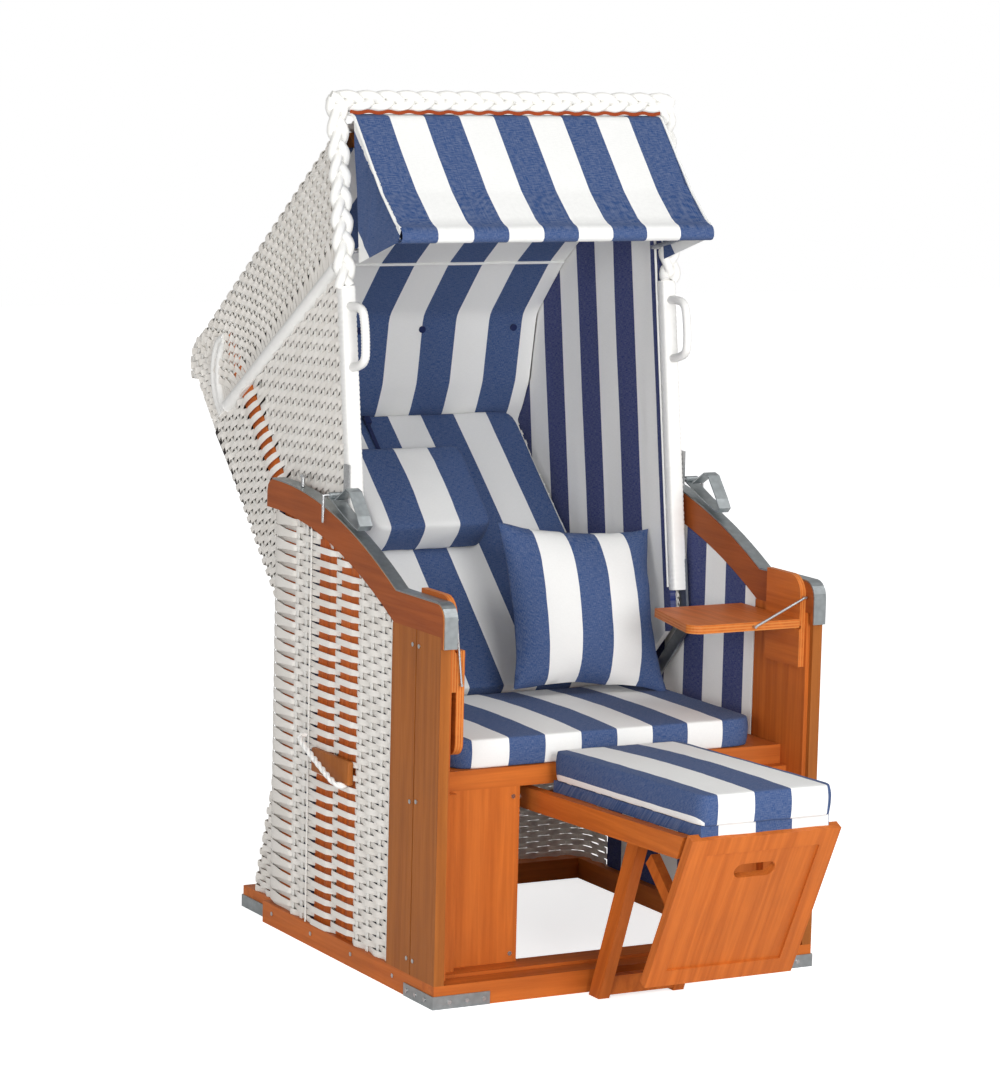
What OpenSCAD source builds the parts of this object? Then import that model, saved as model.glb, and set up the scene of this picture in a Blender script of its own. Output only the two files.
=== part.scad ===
/* [Base] */
// Width of the base over its side planks
base_w = 794; // [760:2:840]
// Depth of the straight side walls
base_d = 712; // [700:2:724]
// Depth of the whole base with its woven back
back_d = 844; // [835:1:860]
// Height of the sills
sill_h = 42; // [36:1:46]
// Thickness of the sills
sill_t = 44; // [38:1:50]
// How far the woven back stands in from the sides
back_in = 20; // [16:1:24]
// Height of the step boards behind the front sill
step_h = 48; // [47:1:52]
// Depth of the step boards
step_d = 56; // [40:1:60]

/* [Side walls] */
// Thickness of the outer side planks
plank_t = 20; // [18:1:22]
// Width of one outer side plank
plank_w = 92; // [86:1:94]
// Joint between two planks
plank_gap = 3; // [2:1:5]
// Thickness of the woven side
weave_t = 22; // [20:1:24]
// Thickness of the inner face boards and linings
lining_t = 6; // [4:1:8]
// Front end of the open columns in the side weave
window_y = 340; // [335:1:350]
// Width of the open columns
window_w = 174; // [165:1:180]
// Height of the woven base back
back_h = 430; // [400:1:440]
// Wall of the woven base back
wicker_t = 12; // [10:1:14]

/* [Arm rails] */
// Thickness of an arm rail
arm_t = 28; // [26:1:30]
// Height of the arm rail's flat front top
arm_z = 725; // [715:1:735]
// How far the rail climbs to the rear
arm_rise = 137; // [128:1:142]
// Where the climb starts
arm_bend_y = 180; // [170:1:190]
// Depth of the band that the rail is cut from
arm_band = 57; // [52:1:62]
// Radius of the rail's nose
nose_r = 28; // [22:1:30]
// How far the nose stands out
nose_out = 8; // [5:1:12]
// Thickness of the steel strip on the rail
strip_t = 3; // [2:0.5:4]
// Width of the steel strip
strip_w = 26; // [22:1:28]

/* [Seat] */
// Top of the seat board
seat_z = 408; // [400:1:412]
// Thickness of the seat board
seat_t = 12; // [10:1:15]
// Rear edge of the seat board
seat_back_y = 500; // [480:1:505]
// Front face of the apron
apron_y = 85; // [80:1:90]
// Thickness of the apron and of the front panels
front_t = 15; // [13:1:17]
// Height of the apron
apron_h = 36; // [32:1:38]
// Half of the footrest opening
bay_half = 185; // [175:1:195]
// Width of the inner front posts
inner_post_w = 44; // [38:1:50]
// Length of the seat cushion
seat_pad_d = 402; // [390:1:405]
// Thickness of the seat cushion
seat_pad_t = 59; // [50:1:64]
// Running space round the soft pieces
soft_gap = 0.3; // [0.2:0.1:1]

/* [Hood] */
// Lean of the hood at rest
hood_lean = 7.5; // [0:0.5:7.5]
// Pivot of the hood, from the base front
pivot_y = 540; // [535:1:550]
// Pivot height
pivot_z = 440; // [435:1:450]
// Diameter of the pivot bolts
pivot_d = 10; // [8:1:12]
// Gap between the hood's sides and the base
hood_gap = 10; // [8:1:14]
// Front plane of the hood
hood_y = 388; // [380:1:396]
// Height of the roof line at the front
roof_z = 1541; // [1500:1:1560]
// Slope of the roof
roof_fall = 28.5; // [26:0.5:31]
// Depth at which roof and back meet
corner_y = 1150; // [1120:1:1165]
// Slope of the lower back
back_rise = 53.2; // [52.5:0.1:54]
// Radius of the bulge between roof and back
bulge_r = 80; // [60:1:110]
// Radius of the hood's long edges
hood_edge_r = 50; // [40:1:55]
// Lowest rear point of the hood
hood_low_y = 645; // [640:1:655]
// Depth of a front post
post_d = 26; // [22:1:28]
// Width of a front post
post_w = 30; // [26:1:32]
// Lower end of the white winding on the posts
wrap_z = 634; // [600:1:660]
// Lower end of the braid on the posts
braid_z = 1225; // [1180:1:1260]
// Height of the braided rim over the roof line
rim_up = 49; // [40:1:52]
// Height of the braided rim
rim_h = 38; // [34:1:42]
// Thickness of the flat steel under the posts
bar_t = 5; // [4:0.5:6]

/* [Hood inside] */
// Thickness of the quilted side linings
side_pad_t = 14; // [10:1:16]
// Slope of the back cushion's face, hood upright
rest_rise = 49.5; // [48:0.5:50]
// Length of the back cushion
rest_len = 700; // [670:1:710]
// Thickness of the back cushion
rest_t = 46; // [40:1:48]
// Length of the bolster
bolster_w = 256; // [240:1:275]
// Height of the bolster along the cushion
bolster_h = 200; // [170:1:220]
// Thickness of the bolster
bolster_t = 84; // [70:1:90]
// Place of the bolster along the cushion
bolster_s = 440; // [400:1:470]
// Place of the bolster across the cushion
bolster_x = -36; // [-50:1:0]
// Side of the throw pillow
pillow_w = 330; // [320:1:345]
// Thickness of the throw pillow
pillow_t = 118; // [90:1:125]
// Lean of the throw pillow
pillow_lean = 24; // [20:1:28]
// How far the throw pillow is turned in its own plane
pillow_turn = 5; // [3:1:6]

/* [Awning] */
// Height of the awning pivots, hood upright
awn_pivot_z = 1296; // [1280:1:1310]
// Reach of the awning tube in front of its pivots
awn_reach = 194; // [180:1:200]
// Rise of the tube over the pivots
awn_rise = 16; // [10:1:24]
// Diameter of the awning tube
awn_tube_d = 18; // [16:1:22]
// Diameter of the awning arms
awn_arm_d = 8; // [6:1:9]
// Thickness of the awning cloth
cloth_t = 2; // [1.5:0.5:3]

/* [Trays] */
// Reach of a tray at its long end
tray_l = 230; // [220:1:231]
// Reach of a tray at its short end
tray_short = 190; // [180:1:200]
// Depth of a tray
tray_w = 202; // [180:1:206]
// Thickness of a tray
tray_t = 16; // [14:1:18]
// Front edge of a tray
tray_y = 16; // [14:1:18]
// Hinge height of a tray
tray_z = 640; // [632:1:642]
// Thickness of the board behind a tray
board_t = 12; // [10:1:14]
// Pivot height of the wire struts
strut_z = 697; // [690:1:700]
// Length of the wire struts
strut_l = 118; // [110:1:124]
// Diameter of the wire struts
wire_d = 5; // [4:0.5:6]

/* [Latches] */
// Place of the latch rod
rod_y = 455; // [453:1:457]
// Height of the latch rod
rod_z = 862; // [860:1:864]
// Diameter of the latch rod
rod_d = 6; // [5:0.5:6]
// Place of the stop bolts on the rails
stop_y = 593; // [592:1:596]

/* [Footrest] */
// Place of the footrest's axle
axle_y = 150; // [146:1:154]
// Height of the footrest's axle
axle_z = 338; // [334:1:339]
// Diameter of the axle and of the leg shaft
axle_d = 12; // [10:1:14]
// Upward slope of the rails
rail_rise = 2; // [1:0.5:2.5]
// Half width of the footrest over its rails
rail_half = 150; // [140:1:155]
// Thickness of a footrest rail
rail_t = 20; // [18:1:22]
// Height of a footrest rail
rail_h = 40; // [36:1:40]
// Place of the legs' shaft along the rails
shaft_s = 322; // [315:1:330]
// Feet, in front of the sill
foot_y = -34; // [-40:1:-33]
// Half width of the legs
leg_half = 89; // [85:1:95]
// Thickness of a leg
leg_t = 22; // [18:1:24]
// Width of a leg
leg_w = 34; // [30:1:36]
// Front top edge of the front panel
blade_y = -454; // [-460:1:-450]
// Height of the front panel's top edge
blade_z = 377; // [374:1:378]
// Lean of the front panel
blade_lean = 26.4; // [24:0.2:27]
// Length of the front panel
blade_l = 321; // [300:1:325]
// Thickness of the front panel
blade_t = 18; // [16:1:19]
// Thickness of the thin pad
pad_t = 22; // [20:1:24]
// Thickness of the footrest cushion
cushion_t = 59; // [50:1:64]
// Length of the footrest cushion
cushion_l = 520; // [480:1:525]
// Width of the footrest cushion
cushion_w = 262; // [240:1:280]

/* [Hidden] */
$fn = 48;
half = base_w / 2;
back_half = half - back_in;
inner = half - arm_t;
hood_half = inner - hood_gap;
seat_under = seat_z - seat_t;
seat_pad_w = base_w - 160;
apron_z = seat_z - apron_h;
panel_y = apron_y + front_t;
fit = 0.05;

// Arm rail: its top line and its underside
function climb(t) = 1 - pow(1 - min(1, max(0, t)), 2);
arm_top_d = 511;
arm_end_y = base_d + 8;
function arm_top(y) = arm_z + arm_rise * climb((y - arm_bend_y) / arm_top_d);
function arm_low(y) = arm_z - arm_band + (arm_rise + 3) * climb((y - arm_bend_y - 3) / (arm_top_d + 9));
nose_z = arm_z - 77;
nose_pts = [for (a = [180:-15:90]) [nose_r - nose_out + nose_r * cos(a), arm_z - nose_r + nose_r * sin(a)]];
top_ys = [arm_bend_y, for (y = [220:30:base_d - 42]) y, base_d - 12];
top_pts = [for (y = top_ys) [y, arm_top(y)]];
rail_path = concat([[-nose_out, nose_z]], nose_pts, top_pts);
low_ys = [base_d, for (y = [base_d - 42:-40:230]) y, arm_bend_y + 3];

// Hood outline, drawn upright
roof_y = hood_y + post_d;
corner_z = roof_z - (corner_y - roof_y) * tan(roof_fall);
hood_low_z = corner_z - (corner_y - hood_low_y) * tan(back_rise);
function roof_at(y) = roof_z - (y - roof_y) * tan(roof_fall);
function back_at(z) = corner_y - (corner_z - z) / tan(back_rise);
foot_front = [505, 506];
foot_rear = [578, hood_low_z + 2];

// Points a fixed way along a slope from the corner, and the rounding between them
tang = bulge_r / tan((180 - roof_fall - back_rise) / 2);
roof_end = [corner_y - tang * cos(roof_fall), corner_z + tang * sin(roof_fall)];
bulge_c = [roof_end[0] - bulge_r * sin(roof_fall), roof_end[1] - bulge_r * cos(roof_fall)];
function bulge_pts(r) = [for (i = [0:6]) let (a = 90 - roof_fall - i * (roof_fall + back_rise) / 6)
    [bulge_c[0] + r * cos(a), bulge_c[1] + r * sin(a)]];

// Back cushion: start of its face and its own directions
rest_w = base_w - 188;
rest_0 = [511, 468];
rest_u = [cos(rest_rise), sin(rest_rise)];
rest_n = [sin(rest_rise), -cos(rest_rise)];
function rest_pt(s, d) = rest_0 + s * rest_u + d * rest_n;
lining_wall = 4;
lining_face = [[roof_y + 6, 1487], [777, 1293], [898, 1195], [940, 1060], rest_pt(rest_len + 8, 6),
    rest_pt(rest_len + 6, rest_t - 8), rest_pt(rest_len - 24, rest_t + 0.4), rest_pt(90, rest_t + 0.4)];

awn_pivot = [hood_y + 14, awn_pivot_z];
awn_tube = awn_pivot + [-awn_reach, awn_rise];
awn_tube_w = base_w - 148;
arm_in = hood_half - post_w;
rim_z = roof_z + rim_up - rim_h;
board_in = inner - board_t;
tray_out = board_in - 0.3;
strut_x = inner - board_t / 2;
strut_y = tray_y - 8;
strut_open = acos((strut_z - tray_z - tray_t / 2) / strut_l);
strut_shut = 6;

wood = "#a8622f";
planks = "#a06a35";
wicker = "#d8d5cd";
steel = "#8b97a0";
white = "#efefec";
blue = "#3a5790";

// The origin lies on the middle of the front sill's underside
module put() { translate([0, -sill_t / 2, 0]) children(); }
module hood() { put() translate([0, pivot_y, pivot_z]) rotate([-hood_lean, 0, 0])
    translate([0, -pivot_y, -pivot_z]) children(); }
module right(s) { mirror([s < 0 ? 1 : 0, 0, 0]) children(); }
module both() { for (s = [-1, 1]) right(s) children(); }
// A plate from x0 to x1 whose outline is given in depth and height
module plate(x0, x1, pts) { translate([x0, 0, 0]) rotate([90, 0, 90]) linear_extrude(x1 - x0) polygon(pts); }
module box(x0, x1, y0, y1, z0, z1) { translate([x0, y0, z0]) cube([x1 - x0, y1 - y0, z1 - z0]); }
module pin(x0, x1, y, z, d) { translate([x0, y, z]) rotate([0, 90, 0]) cylinder(d = d, h = x1 - x0); }

// A strip of thickness t along a line of points, on the line's left side
function unit(v) = v / norm(v);
function left_of(v) = [-v[1], v[0]];
function miter(p, i, t) = let (n = len(p), a = unit(p[max(1, i)] - p[max(1, i) - 1]),
    b = unit(p[min(n - 1, i + 1)] - p[min(n - 1, i + 1) - 1]), m = unit(left_of(a) + left_of(b)))
    p[i] + m * t / (m * left_of(a));
function ribbon(p, t) = concat(p, [for (i = [len(p) - 1:-1:0]) miter(p, i, t)]);

// A round wire through a list of points
module wire(p, d) {
    for (i = [0:len(p) - 2]) let (v = p[i + 1] - p[i], l = norm(v)) {
        translate(p[i]) rotate([0, acos(v[2] / l), atan2(v[1], v[0])]) cylinder(d = d, h = l, $fn = 20);
        translate(p[i]) sphere(d = d, $fn = 20);
    }
    translate(p[len(p) - 1]) sphere(d = d, $fn = 20);
}

// A bow of round section: half width r, standing out by o along X, its legs along Y
module loop(r, o, d) {
    c = min(r, o) * 0.7;
    for (s = [-1, 1]) translate([0, s * r, 0]) rotate([0, 90, 0]) cylinder(d = d, h = o - c);
    for (s = [-1, 1]) translate([o - c, s * (r - c), 0]) rotate([0, 0, s > 0 ? 0 : -90])
        rotate_extrude(angle = 90) translate([c, 0]) circle(d = d);
    translate([o, c - r, 0]) rotate([-90, 0, 0]) cylinder(d = d, h = 2 * (r - c));
}

// A soft piece: w by l, bottom at 0, with a flat or crowned bottom and drawn-in sides
module cushion(w, l, t, n = 14, k = 0.3, crown = 8, low = 0, draw = 0.012, m = 18) {
    function g(i) = sin(90 * (2 * i / m - 1));
    function e(a) = pow(max(0, 1 - pow(abs(a), n)), k);
    function px(a, b) = w / 2 * a * (1 - draw * (1 - b * b));
    function py(a, b) = l / 2 * b * (1 - draw * (1 - a * a));
    function rise(a, b) = e(a) * e(b);
    function swell(a, b) = (1 - a * a) * (1 - b * b);
    mid = t / 2;
    top = [for (j = [0:m]) for (i = [0:m]) let (a = g(i), b = g(j))
        [px(a, b), py(a, b), mid + (t / 2 - crown) * rise(a, b) + crown * swell(a, b)]];
    bottom = [for (j = [1:m - 1]) for (i = [1:m - 1]) let (a = g(i), b = g(j))
        [px(a, b), py(a, b), mid - (t / 2 - low) * rise(a, b) - low * swell(a, b)]];
    function it(i, j) = j * (m + 1) + i;
    function ib(i, j) = (i == 0 || j == 0 || i == m || j == m) ? it(i, j)
        : (m + 1) * (m + 1) + (j - 1) * (m - 1) + i - 1;
    // Each cell's diagonal starts at the nearest corner, so that no flat pair of faces forms there
    function cut(a, b, c, d, main) = main ? [[a, b, c], [a, c, d]] : [[a, b, d], [b, c, d]];
    function main(i, j) = (i < m / 2) == (j < m / 2);
    faces = [for (j = [0:m - 1]) for (i = [0:m - 1]) each concat(
        cut(it(i, j), it(i, j + 1), it(i + 1, j + 1), it(i + 1, j), main(i, j)),
        cut(ib(i, j), ib(i + 1, j), ib(i + 1, j + 1), ib(i, j + 1), main(i, j)))];
    polyhedron(concat(top, bottom), faces);
}

// Base
module front_sill() { color(wood) put() box(-half, half, 0, sill_t, 0, sill_h); }
module side_sills() { color(wood) put() both() {
    box(half - sill_t, half, sill_t, base_d, 0, sill_h);
    box(half - sill_t, back_half, base_d, back_d - sill_t, 0, sill_h);
} }
module rear_sill() { color(wood) put() box(-back_half, back_half, back_d - sill_t, back_d, 0, sill_h); }
module step_boards() { color(wood) put() {
    box(sill_t - half, half - sill_t, sill_t, sill_t + step_d, step_h - 30, step_h);
} }
bracket_t = 2.5;
bracket_l = 115;
rear_bracket_l = back_d - base_d - 17;
bracket_h = 24;
module angle_bracket(l) {
    difference() {
        translate([-bracket_t, -bracket_t, 0]) cube([l, l, bracket_h]);
        translate([0, 0, -1]) cube([l, l, bracket_h + 2]);
    }
}
module corner_brackets() { color(steel) put() both() {
    mirror([1, 0, 0]) translate([-half, 0, 0]) angle_bracket(bracket_l);
    translate([back_half, back_d, 0]) rotate([0, 0, 180]) angle_bracket(rear_bracket_l);
} }
plank_end = 2 * plank_w + plank_gap;
module side_planks() { color(planks) put() both() for (y = [0, plank_w + plank_gap])
    box(half - plank_t, half, y, y + plank_w, sill_h, arm_z - arm_band);
}
weave_y = plank_end + 2;
module face_boards() { color(wood) put() both()
    box(inner, half - plank_t, 10, plank_end, step_h, arm_z - arm_band);
}
function side_outline(y0, low) = concat([[y0, sill_h], [base_d, sill_h]],
    [for (y = low_ys) if (y > y0) [y, arm_low(y) - low]], [[y0, arm_low(y0) - low - 0.2]]);
weave_in = half - weave_t;
window_top = [for (y = [window_y, window_y + window_w]) arm_low(y) - 24];
module side_weave() {
    difference() {
        plate(weave_in, half, side_outline(weave_y, 0));
        plate(weave_in - 1, half + 1, [[window_y, sill_h + 24], [window_y + window_w, sill_h + 24],
            [window_y + window_w, window_top[1]], [window_y, window_top[0]]]);
    }
}
module side_weave_left() { color(wicker) put() right(-1) side_weave(); }
module side_weave_right() { color(wicker) put() side_weave(); }
slat_gap = 14;
slat_w = (window_w - slat_gap - 3) / 2;
module side_slats() { color("#b3632c") put() both() for (i = [0, 1]) let (y = window_y + 1.5 + i * (slat_w + slat_gap))
    box(weave_in, weave_in + 9, y, y + slat_w, sill_h + 24, window_top[0]);
}
module base_linings() { color(blue) put() both()
    plate(inner, inner + lining_t, side_outline(weave_y, 0));
}
// Woven back of the base: a bustle with round corners that leans in towards its top
module bustle(d) {
    hull() {
        for (s = [-1, 1]) {
            translate([s * (back_half - 50), back_d - 54, sill_h]) cylinder(r = 50 - d, h = 1, $fn = 32);
            translate([s * (back_half - 50), base_d - 50, back_h - 1]) cylinder(r = 50 - d, h = 1, $fn = 32);
            translate([s * (back_half - d) - (s > 0 ? 1 : 0), base_d - 90, sill_h]) cube([1, 1, back_h - sill_h]);
        }
    }
}
module base_back() { color(wicker) put() difference() {
    bustle(0);
    translate([0, 0, -0.01]) bustle(wicker_t);
    box(-half, half, 0, base_d, 0, back_h + 1);
    box(wicker_t - back_half, back_half - wicker_t, base_d - 1, base_d + 30, back_h - 3, back_h + 1);
} }
arm_outline = concat(rail_path, [for (a = [60:-30:0]) [arm_end_y - 24 + 24 * cos(a),
    arm_top(base_d) - 24 + 24 * sin(a)]], [[arm_end_y, arm_low(base_d)]],
    [for (y = low_ys) [y, arm_low(y)]], [[0, arm_z - arm_band], [0, nose_z]]);
module arm_rail() { plate(inner, half, arm_outline); }
module arm_rail_left() { color(wood) put() right(-1) arm_rail(); }
module arm_rail_right() { color(wood) put() arm_rail(); }
strip_x = half - arm_t / 2 - strip_w / 2;
module rail_strips() { color(steel) put() both() plate(strip_x, strip_x + strip_w, ribbon(rail_path, strip_t)); }
module stop_bolts() { color(steel) put() both() translate([half - arm_t / 2, stop_y, 0]) {
    translate([0, 0, arm_top(stop_y) + strip_t + 0.5]) cylinder(d = 8, h = 18);
    translate([0, 0, arm_top(stop_y) + strip_t + 18.5]) cylinder(d = 13, h = 5, $fn = 6);
} }
module inner_posts() { color(wood) put() both()
    box(inner - inner_post_w, inner, panel_y - 38, panel_y, step_h, apron_z);
}
module front_panels() { color(wood) put() both()
    box(bay_half, inner - inner_post_w, apron_y, panel_y, step_h, apron_z);
}
module seat_apron() { color(wood) put() box(-inner, inner, apron_y, panel_y, apron_z, seat_z); }
rail_d = 30;
module seat_frame() { color(planks) put() {
    both() box(inner - 20, inner, panel_y, base_d, seat_under - rail_d, seat_under);
    box(20 - inner, inner - 20, seat_back_y - 24, seat_back_y, seat_under - rail_d, seat_under);
} }
module seat_board() { color(planks) put() box(2 - inner, inner - 2, panel_y, seat_back_y, seat_under, seat_z); }
module seat_cushion() { color(blue) put() translate([0, apron_y + 5 + seat_pad_d / 2, seat_z + soft_gap])
    cushion(seat_pad_w, seat_pad_d, seat_pad_t, crown = 5);
}
pillow_x = 150;
pillow_sunk = 38;
pillow_z = seat_z + seat_pad_t + 38;
module throw_pillow() { color(blue) put() translate([pillow_x, apron_y + 323, pillow_z])
    rotate([90 - pillow_lean, 0, 0]) translate([0, pillow_w / 2 - pillow_sunk, -pillow_t / 2])
    rotate([0, 0, -pillow_turn])
    cushion(pillow_w, pillow_w, pillow_t, n = 2.6, k = 0.62, crown = 2, low = 2, draw = 0.1, m = 16);
}
// The board that a tray hangs on, with a round top corner and a groove for the tray's barrel
barrel_d = 8;
barrel_l = 92;
board_top = arm_z + 11;
module tray_boards() { color(wood) put() both() difference() {
    plate(board_in, inner, concat([[tray_y, 566], [132, 566], [132, board_top]],
        [for (a = [90:15:180]) [tray_y + 36 + 36 * cos(a), board_top - 36 + 36 * sin(a)]]));
    translate([strut_x, tray_y - 1, strut_z]) rotate([-90, 0, 0]) cylinder(d = wire_d + 2 * fit, h = 13);
    translate([tray_out, tray_y - 1, tray_z]) rotate([-90, 0, 0]) cylinder(d = barrel_d + 2 * fit, h = 140);
} }
module rope_handles() { color("#c88a52") put() both() {
    box(half, half + 18, 338, 493, 339, 384);
    color(white) translate([half + 18, 436, 370]) rotate([0, 24, 0]) loop(86, 30, 11);
} }
guide_in = rail_half + 40;
module footrest_guides() { color(steel) put() both() {
    plate_l = 380;
    translate([0, panel_y, 0]) {
        box(guide_in, guide_in + 5, 0, plate_l, axle_z - 26, axle_z + 14);
        box(guide_in - 20, guide_in, 0, plate_l, axle_z - 26, axle_z - 21);
    }
} }
module pivot_bolts() { color(steel) put() both() difference() {
    union() {
        pin(hood_half - bar_t - 7, inner + lining_t, pivot_y, pivot_z, pivot_d);
        pin(hood_half + 0.3, inner, pivot_y, pivot_z, 30);
        pin(hood_half - bar_t - 7, hood_half - bar_t - 0.4, pivot_y, pivot_z, 18);
    }
    pin(inner, inner + lining_t + 1, pivot_y, pivot_z, pivot_d + 2);
} }
// Screw heads that show on the base
module screw(p, turn) { translate(p) rotate(turn) cylinder(d = 8, h = 1.5, $fn = 20); }
module base_screws() { color("#d9dde0") put() both() {
    for (p = [[plank_w - 10, 640], [plank_w + 14, 640], [plank_w - 10, 360], [plank_w + 14, 356],
        [plank_w - 10, 70], [plank_w + 14, 70]]) screw([half, p[0], p[1]], [0, 90, 0]);
    for (y = [160, 330, 500, 670]) screw([half, y, sill_h / 2 + 4], [0, 90, 0]);
    for (y = [30, 66, 100]) screw([half + bracket_t, y, bracket_h / 2], [0, 90, 0]);
    for (x = [30, 66, 100]) screw([half - x, -bracket_t, bracket_h / 2], [90, 0, 0]);
    for (z = [70, 350]) screw([inner - inner_post_w / 2, panel_y - 38, z], [90, 0, 0]);
    for (z = [64, 354]) screw([bay_half + 14, apron_y, z], [90, 0, 0]);
} }

// Hood, drawn upright
wrap_y = hood_y + post_d;
// Solid body of the hood set in by d: sections that draw in to its rounded long edges
module hood_body(d) {
    hull() for (s = [-1, 1]) for (a = [0, 30, 60, 90]) {
        x = hood_half - hood_edge_r + (hood_edge_r - d) * sin(a);
        in = d + (hood_edge_r - d) * (1 - cos(a));
        line = concat([[roof_y - (d > 0 ? 20 : 0), roof_at(roof_y - (d > 0 ? 20 : 0)) - in / cos(roof_fall)]],
            bulge_pts(max(4, bulge_r - in)),
            [[hood_low_y - in / sin(back_rise), hood_low_z - (d > 0 ? 30 : 0)], [foot_rear[0] - 70, hood_low_z - (d > 0 ? 60 : 0)],
            [roof_y - (d > 0 ? 20 : 0), 500]]);
        translate([s > 0 ? x - 0.5 : -x, 0, 0]) rotate([90, 0, 90]) linear_extrude(0.5) polygon(line);
    }
}
module basket() {
    difference() {
        hood_body(0);
        hood_body(wicker_t);
        // Cut along the steel bar that carries the sides
        plate(-half, half, [[roof_y - 30, 400], [roof_y - 30, wrap_z], [roof_y, wrap_z], [roof_y, 572],
            foot_front, foot_rear, [foot_rear[0] + 20, hood_low_z + 0.5], [700, hood_low_z + 0.5], [700, 400]]);
    }
}
seam_x = hood_half - hood_edge_r;
module hood_side() { intersection() { basket(); box(seam_x, half, 300, 1300, 300, 1700); } }
module hood_side_left() { color(wicker) hood() right(-1) hood_side(); }
module hood_side_right() { color(wicker) hood() hood_side(); }
module hood_shell() { color(wicker) hood() intersection() { basket(); box(-seam_x, seam_x, 300, 1300, 300, 1700); } }
module hood_posts() { color(white) hood() both() difference() {
    box(arm_in, hood_half, hood_y, wrap_y, wrap_z, braid_z);
    box(hood_half - bar_t, hood_half + 1, hood_y - 1, wrap_y + 1, wrap_z - 1, wrap_z + 60);
} }
module braided_rim() { color(white) hood() difference() {
    union() {
        box(-hood_half - 4, hood_half + 4, rim_front, wrap_y, rim_z, rim_z + rim_h);
        both() box(arm_in - 5, hood_half, hood_y, wrap_y, braid_z, rim_z);
        both() box(arm_in - 5, hood_half, rim_front, hood_y, braid_z, rim_z);
    }
    both() pin(arm_in - 6, arm_in + 16, awn_pivot[0], awn_pivot_z, awn_arm_d + 2 * fit);
} }
bar_line = [[hood_y, wrap_z + 60], [hood_y, 556], [483, 479], [pivot_y - 8, pivot_z - 4]];
module hood_bars() { color(steel) hood() both() difference() {
    union() {
        plate(hood_half - bar_t, hood_half, ribbon(bar_line, post_d));
        pin(hood_half - bar_t, hood_half, pivot_y, pivot_z, 34);
    }
    pin(hood_half - bar_t - 1, hood_half + 1, pivot_y, pivot_z, pivot_d + 2 * fit);
} }
grip_z = 1137;
module d_handles() { color(white) hood() both()
    translate([hood_half - post_w / 2, hood_y, grip_z]) rotate([90, 0, -90]) loop(56, 62, 14);
}
lining_in = hood_half - wicker_t;
// Battens between basket and linings
batten_w = 36;
module batten(p, a, t) {
    translate([0, p[0], p[1]]) rotate([a, 0, 0]) translate([0.4 - seam_x, -batten_w / 2, -t])
        cube([2 * seam_x - 0.8, batten_w, t]);
}
function back_gap(p) = (corner_y - p[0]) * sin(back_rise) - (corner_z - p[1]) * cos(back_rise);
function roof_gap(p) = (roof_at(p[0]) - p[1]) * cos(roof_fall);
module hood_battens() { color(planks) hood() {
    for (y = [roof_y + 40, roof_y + 320]) batten([y, roof_at(y)] - (wicker_t + 0.3) * [sin(roof_fall), cos(roof_fall)],
        -roof_fall, roof_gap(lining_face[1]) - wicker_t - lining_wall - 1.1);
    for (s = [150, 470]) let (p = rest_pt(s, rest_t + 1 + lining_wall))
        batten(p, rest_rise, back_gap(p) - wicker_t - 2.8);
} }
module hood_side_linings() { color(blue) hood() both()
    plate(lining_in - side_pad_t, lining_in - 1.6, concat([[wrap_y, wrap_z], [wrap_y, roof_z - 60]],
        [for (i = [0:3]) lining_face[i]], [rest_pt(rest_len + 8, 6), rest_pt(30, rest_t), foot_front,
        [wrap_y, 572]]));
}
module hood_back_lining() { color(blue) hood()
    plate(side_pad_t + 0.3 - lining_in, lining_in - side_pad_t - 0.3, ribbon(lining_face, lining_wall));
}
module back_cushion() { color(blue) hood() translate([0, rest_0[0], rest_0[1]]) rotate([rest_rise, 0, 0])
    translate([0, rest_len / 2, -rest_t]) cushion(rest_w, rest_len, rest_t, crown = 6);
}
module bolster() { color(blue) hood() translate([0, rest_0[0], rest_0[1]]) rotate([rest_rise, 0, 0])
    translate([bolster_x, bolster_s, soft_gap]) cushion(bolster_w, bolster_h, bolster_t, n = 3, k = 0.5, crown = 4, low = 2, draw = 0.02, m = 14);
}
module bolster_strap() { color("#30343a") hood() translate([0, rest_0[0], rest_0[1]]) rotate([rest_rise, 0, 0]) {
    translate([-40, bolster_s + bolster_h / 2 + 1, -1.6]) cube([4, rest_len - bolster_s - bolster_h / 2 - 6, 2]);
    translate([-44, rest_len - 30, 0.4]) cube([12, 16, 9]);
} }
button_n = left_of(unit(lining_face[3] - lining_face[2]));
button_at = lining_face[2] + 0.22 * (lining_face[3] - lining_face[2]) - 0.3 * button_n;
module lining_buttons() { color("#22356b") hood() for (x = [-280, -71, 71, 280])
    translate([x, button_at[0], button_at[1]]) rotate([atan2(button_n[0], -button_n[1]), 0, 0]) cylinder(d = 14, h = 5);
}
module latch_rods() { color(steel) put() both() {
    box(hood_half, hood_half + 3, rod_y - 11, rod_y + 11, rod_z - 16, rod_z + 56);
    wire([[hood_half + 3, rod_y, rod_z], [half + 11, rod_y, rod_z], [half + 11, rod_y, rod_z - 48]], rod_d);
} }

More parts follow.
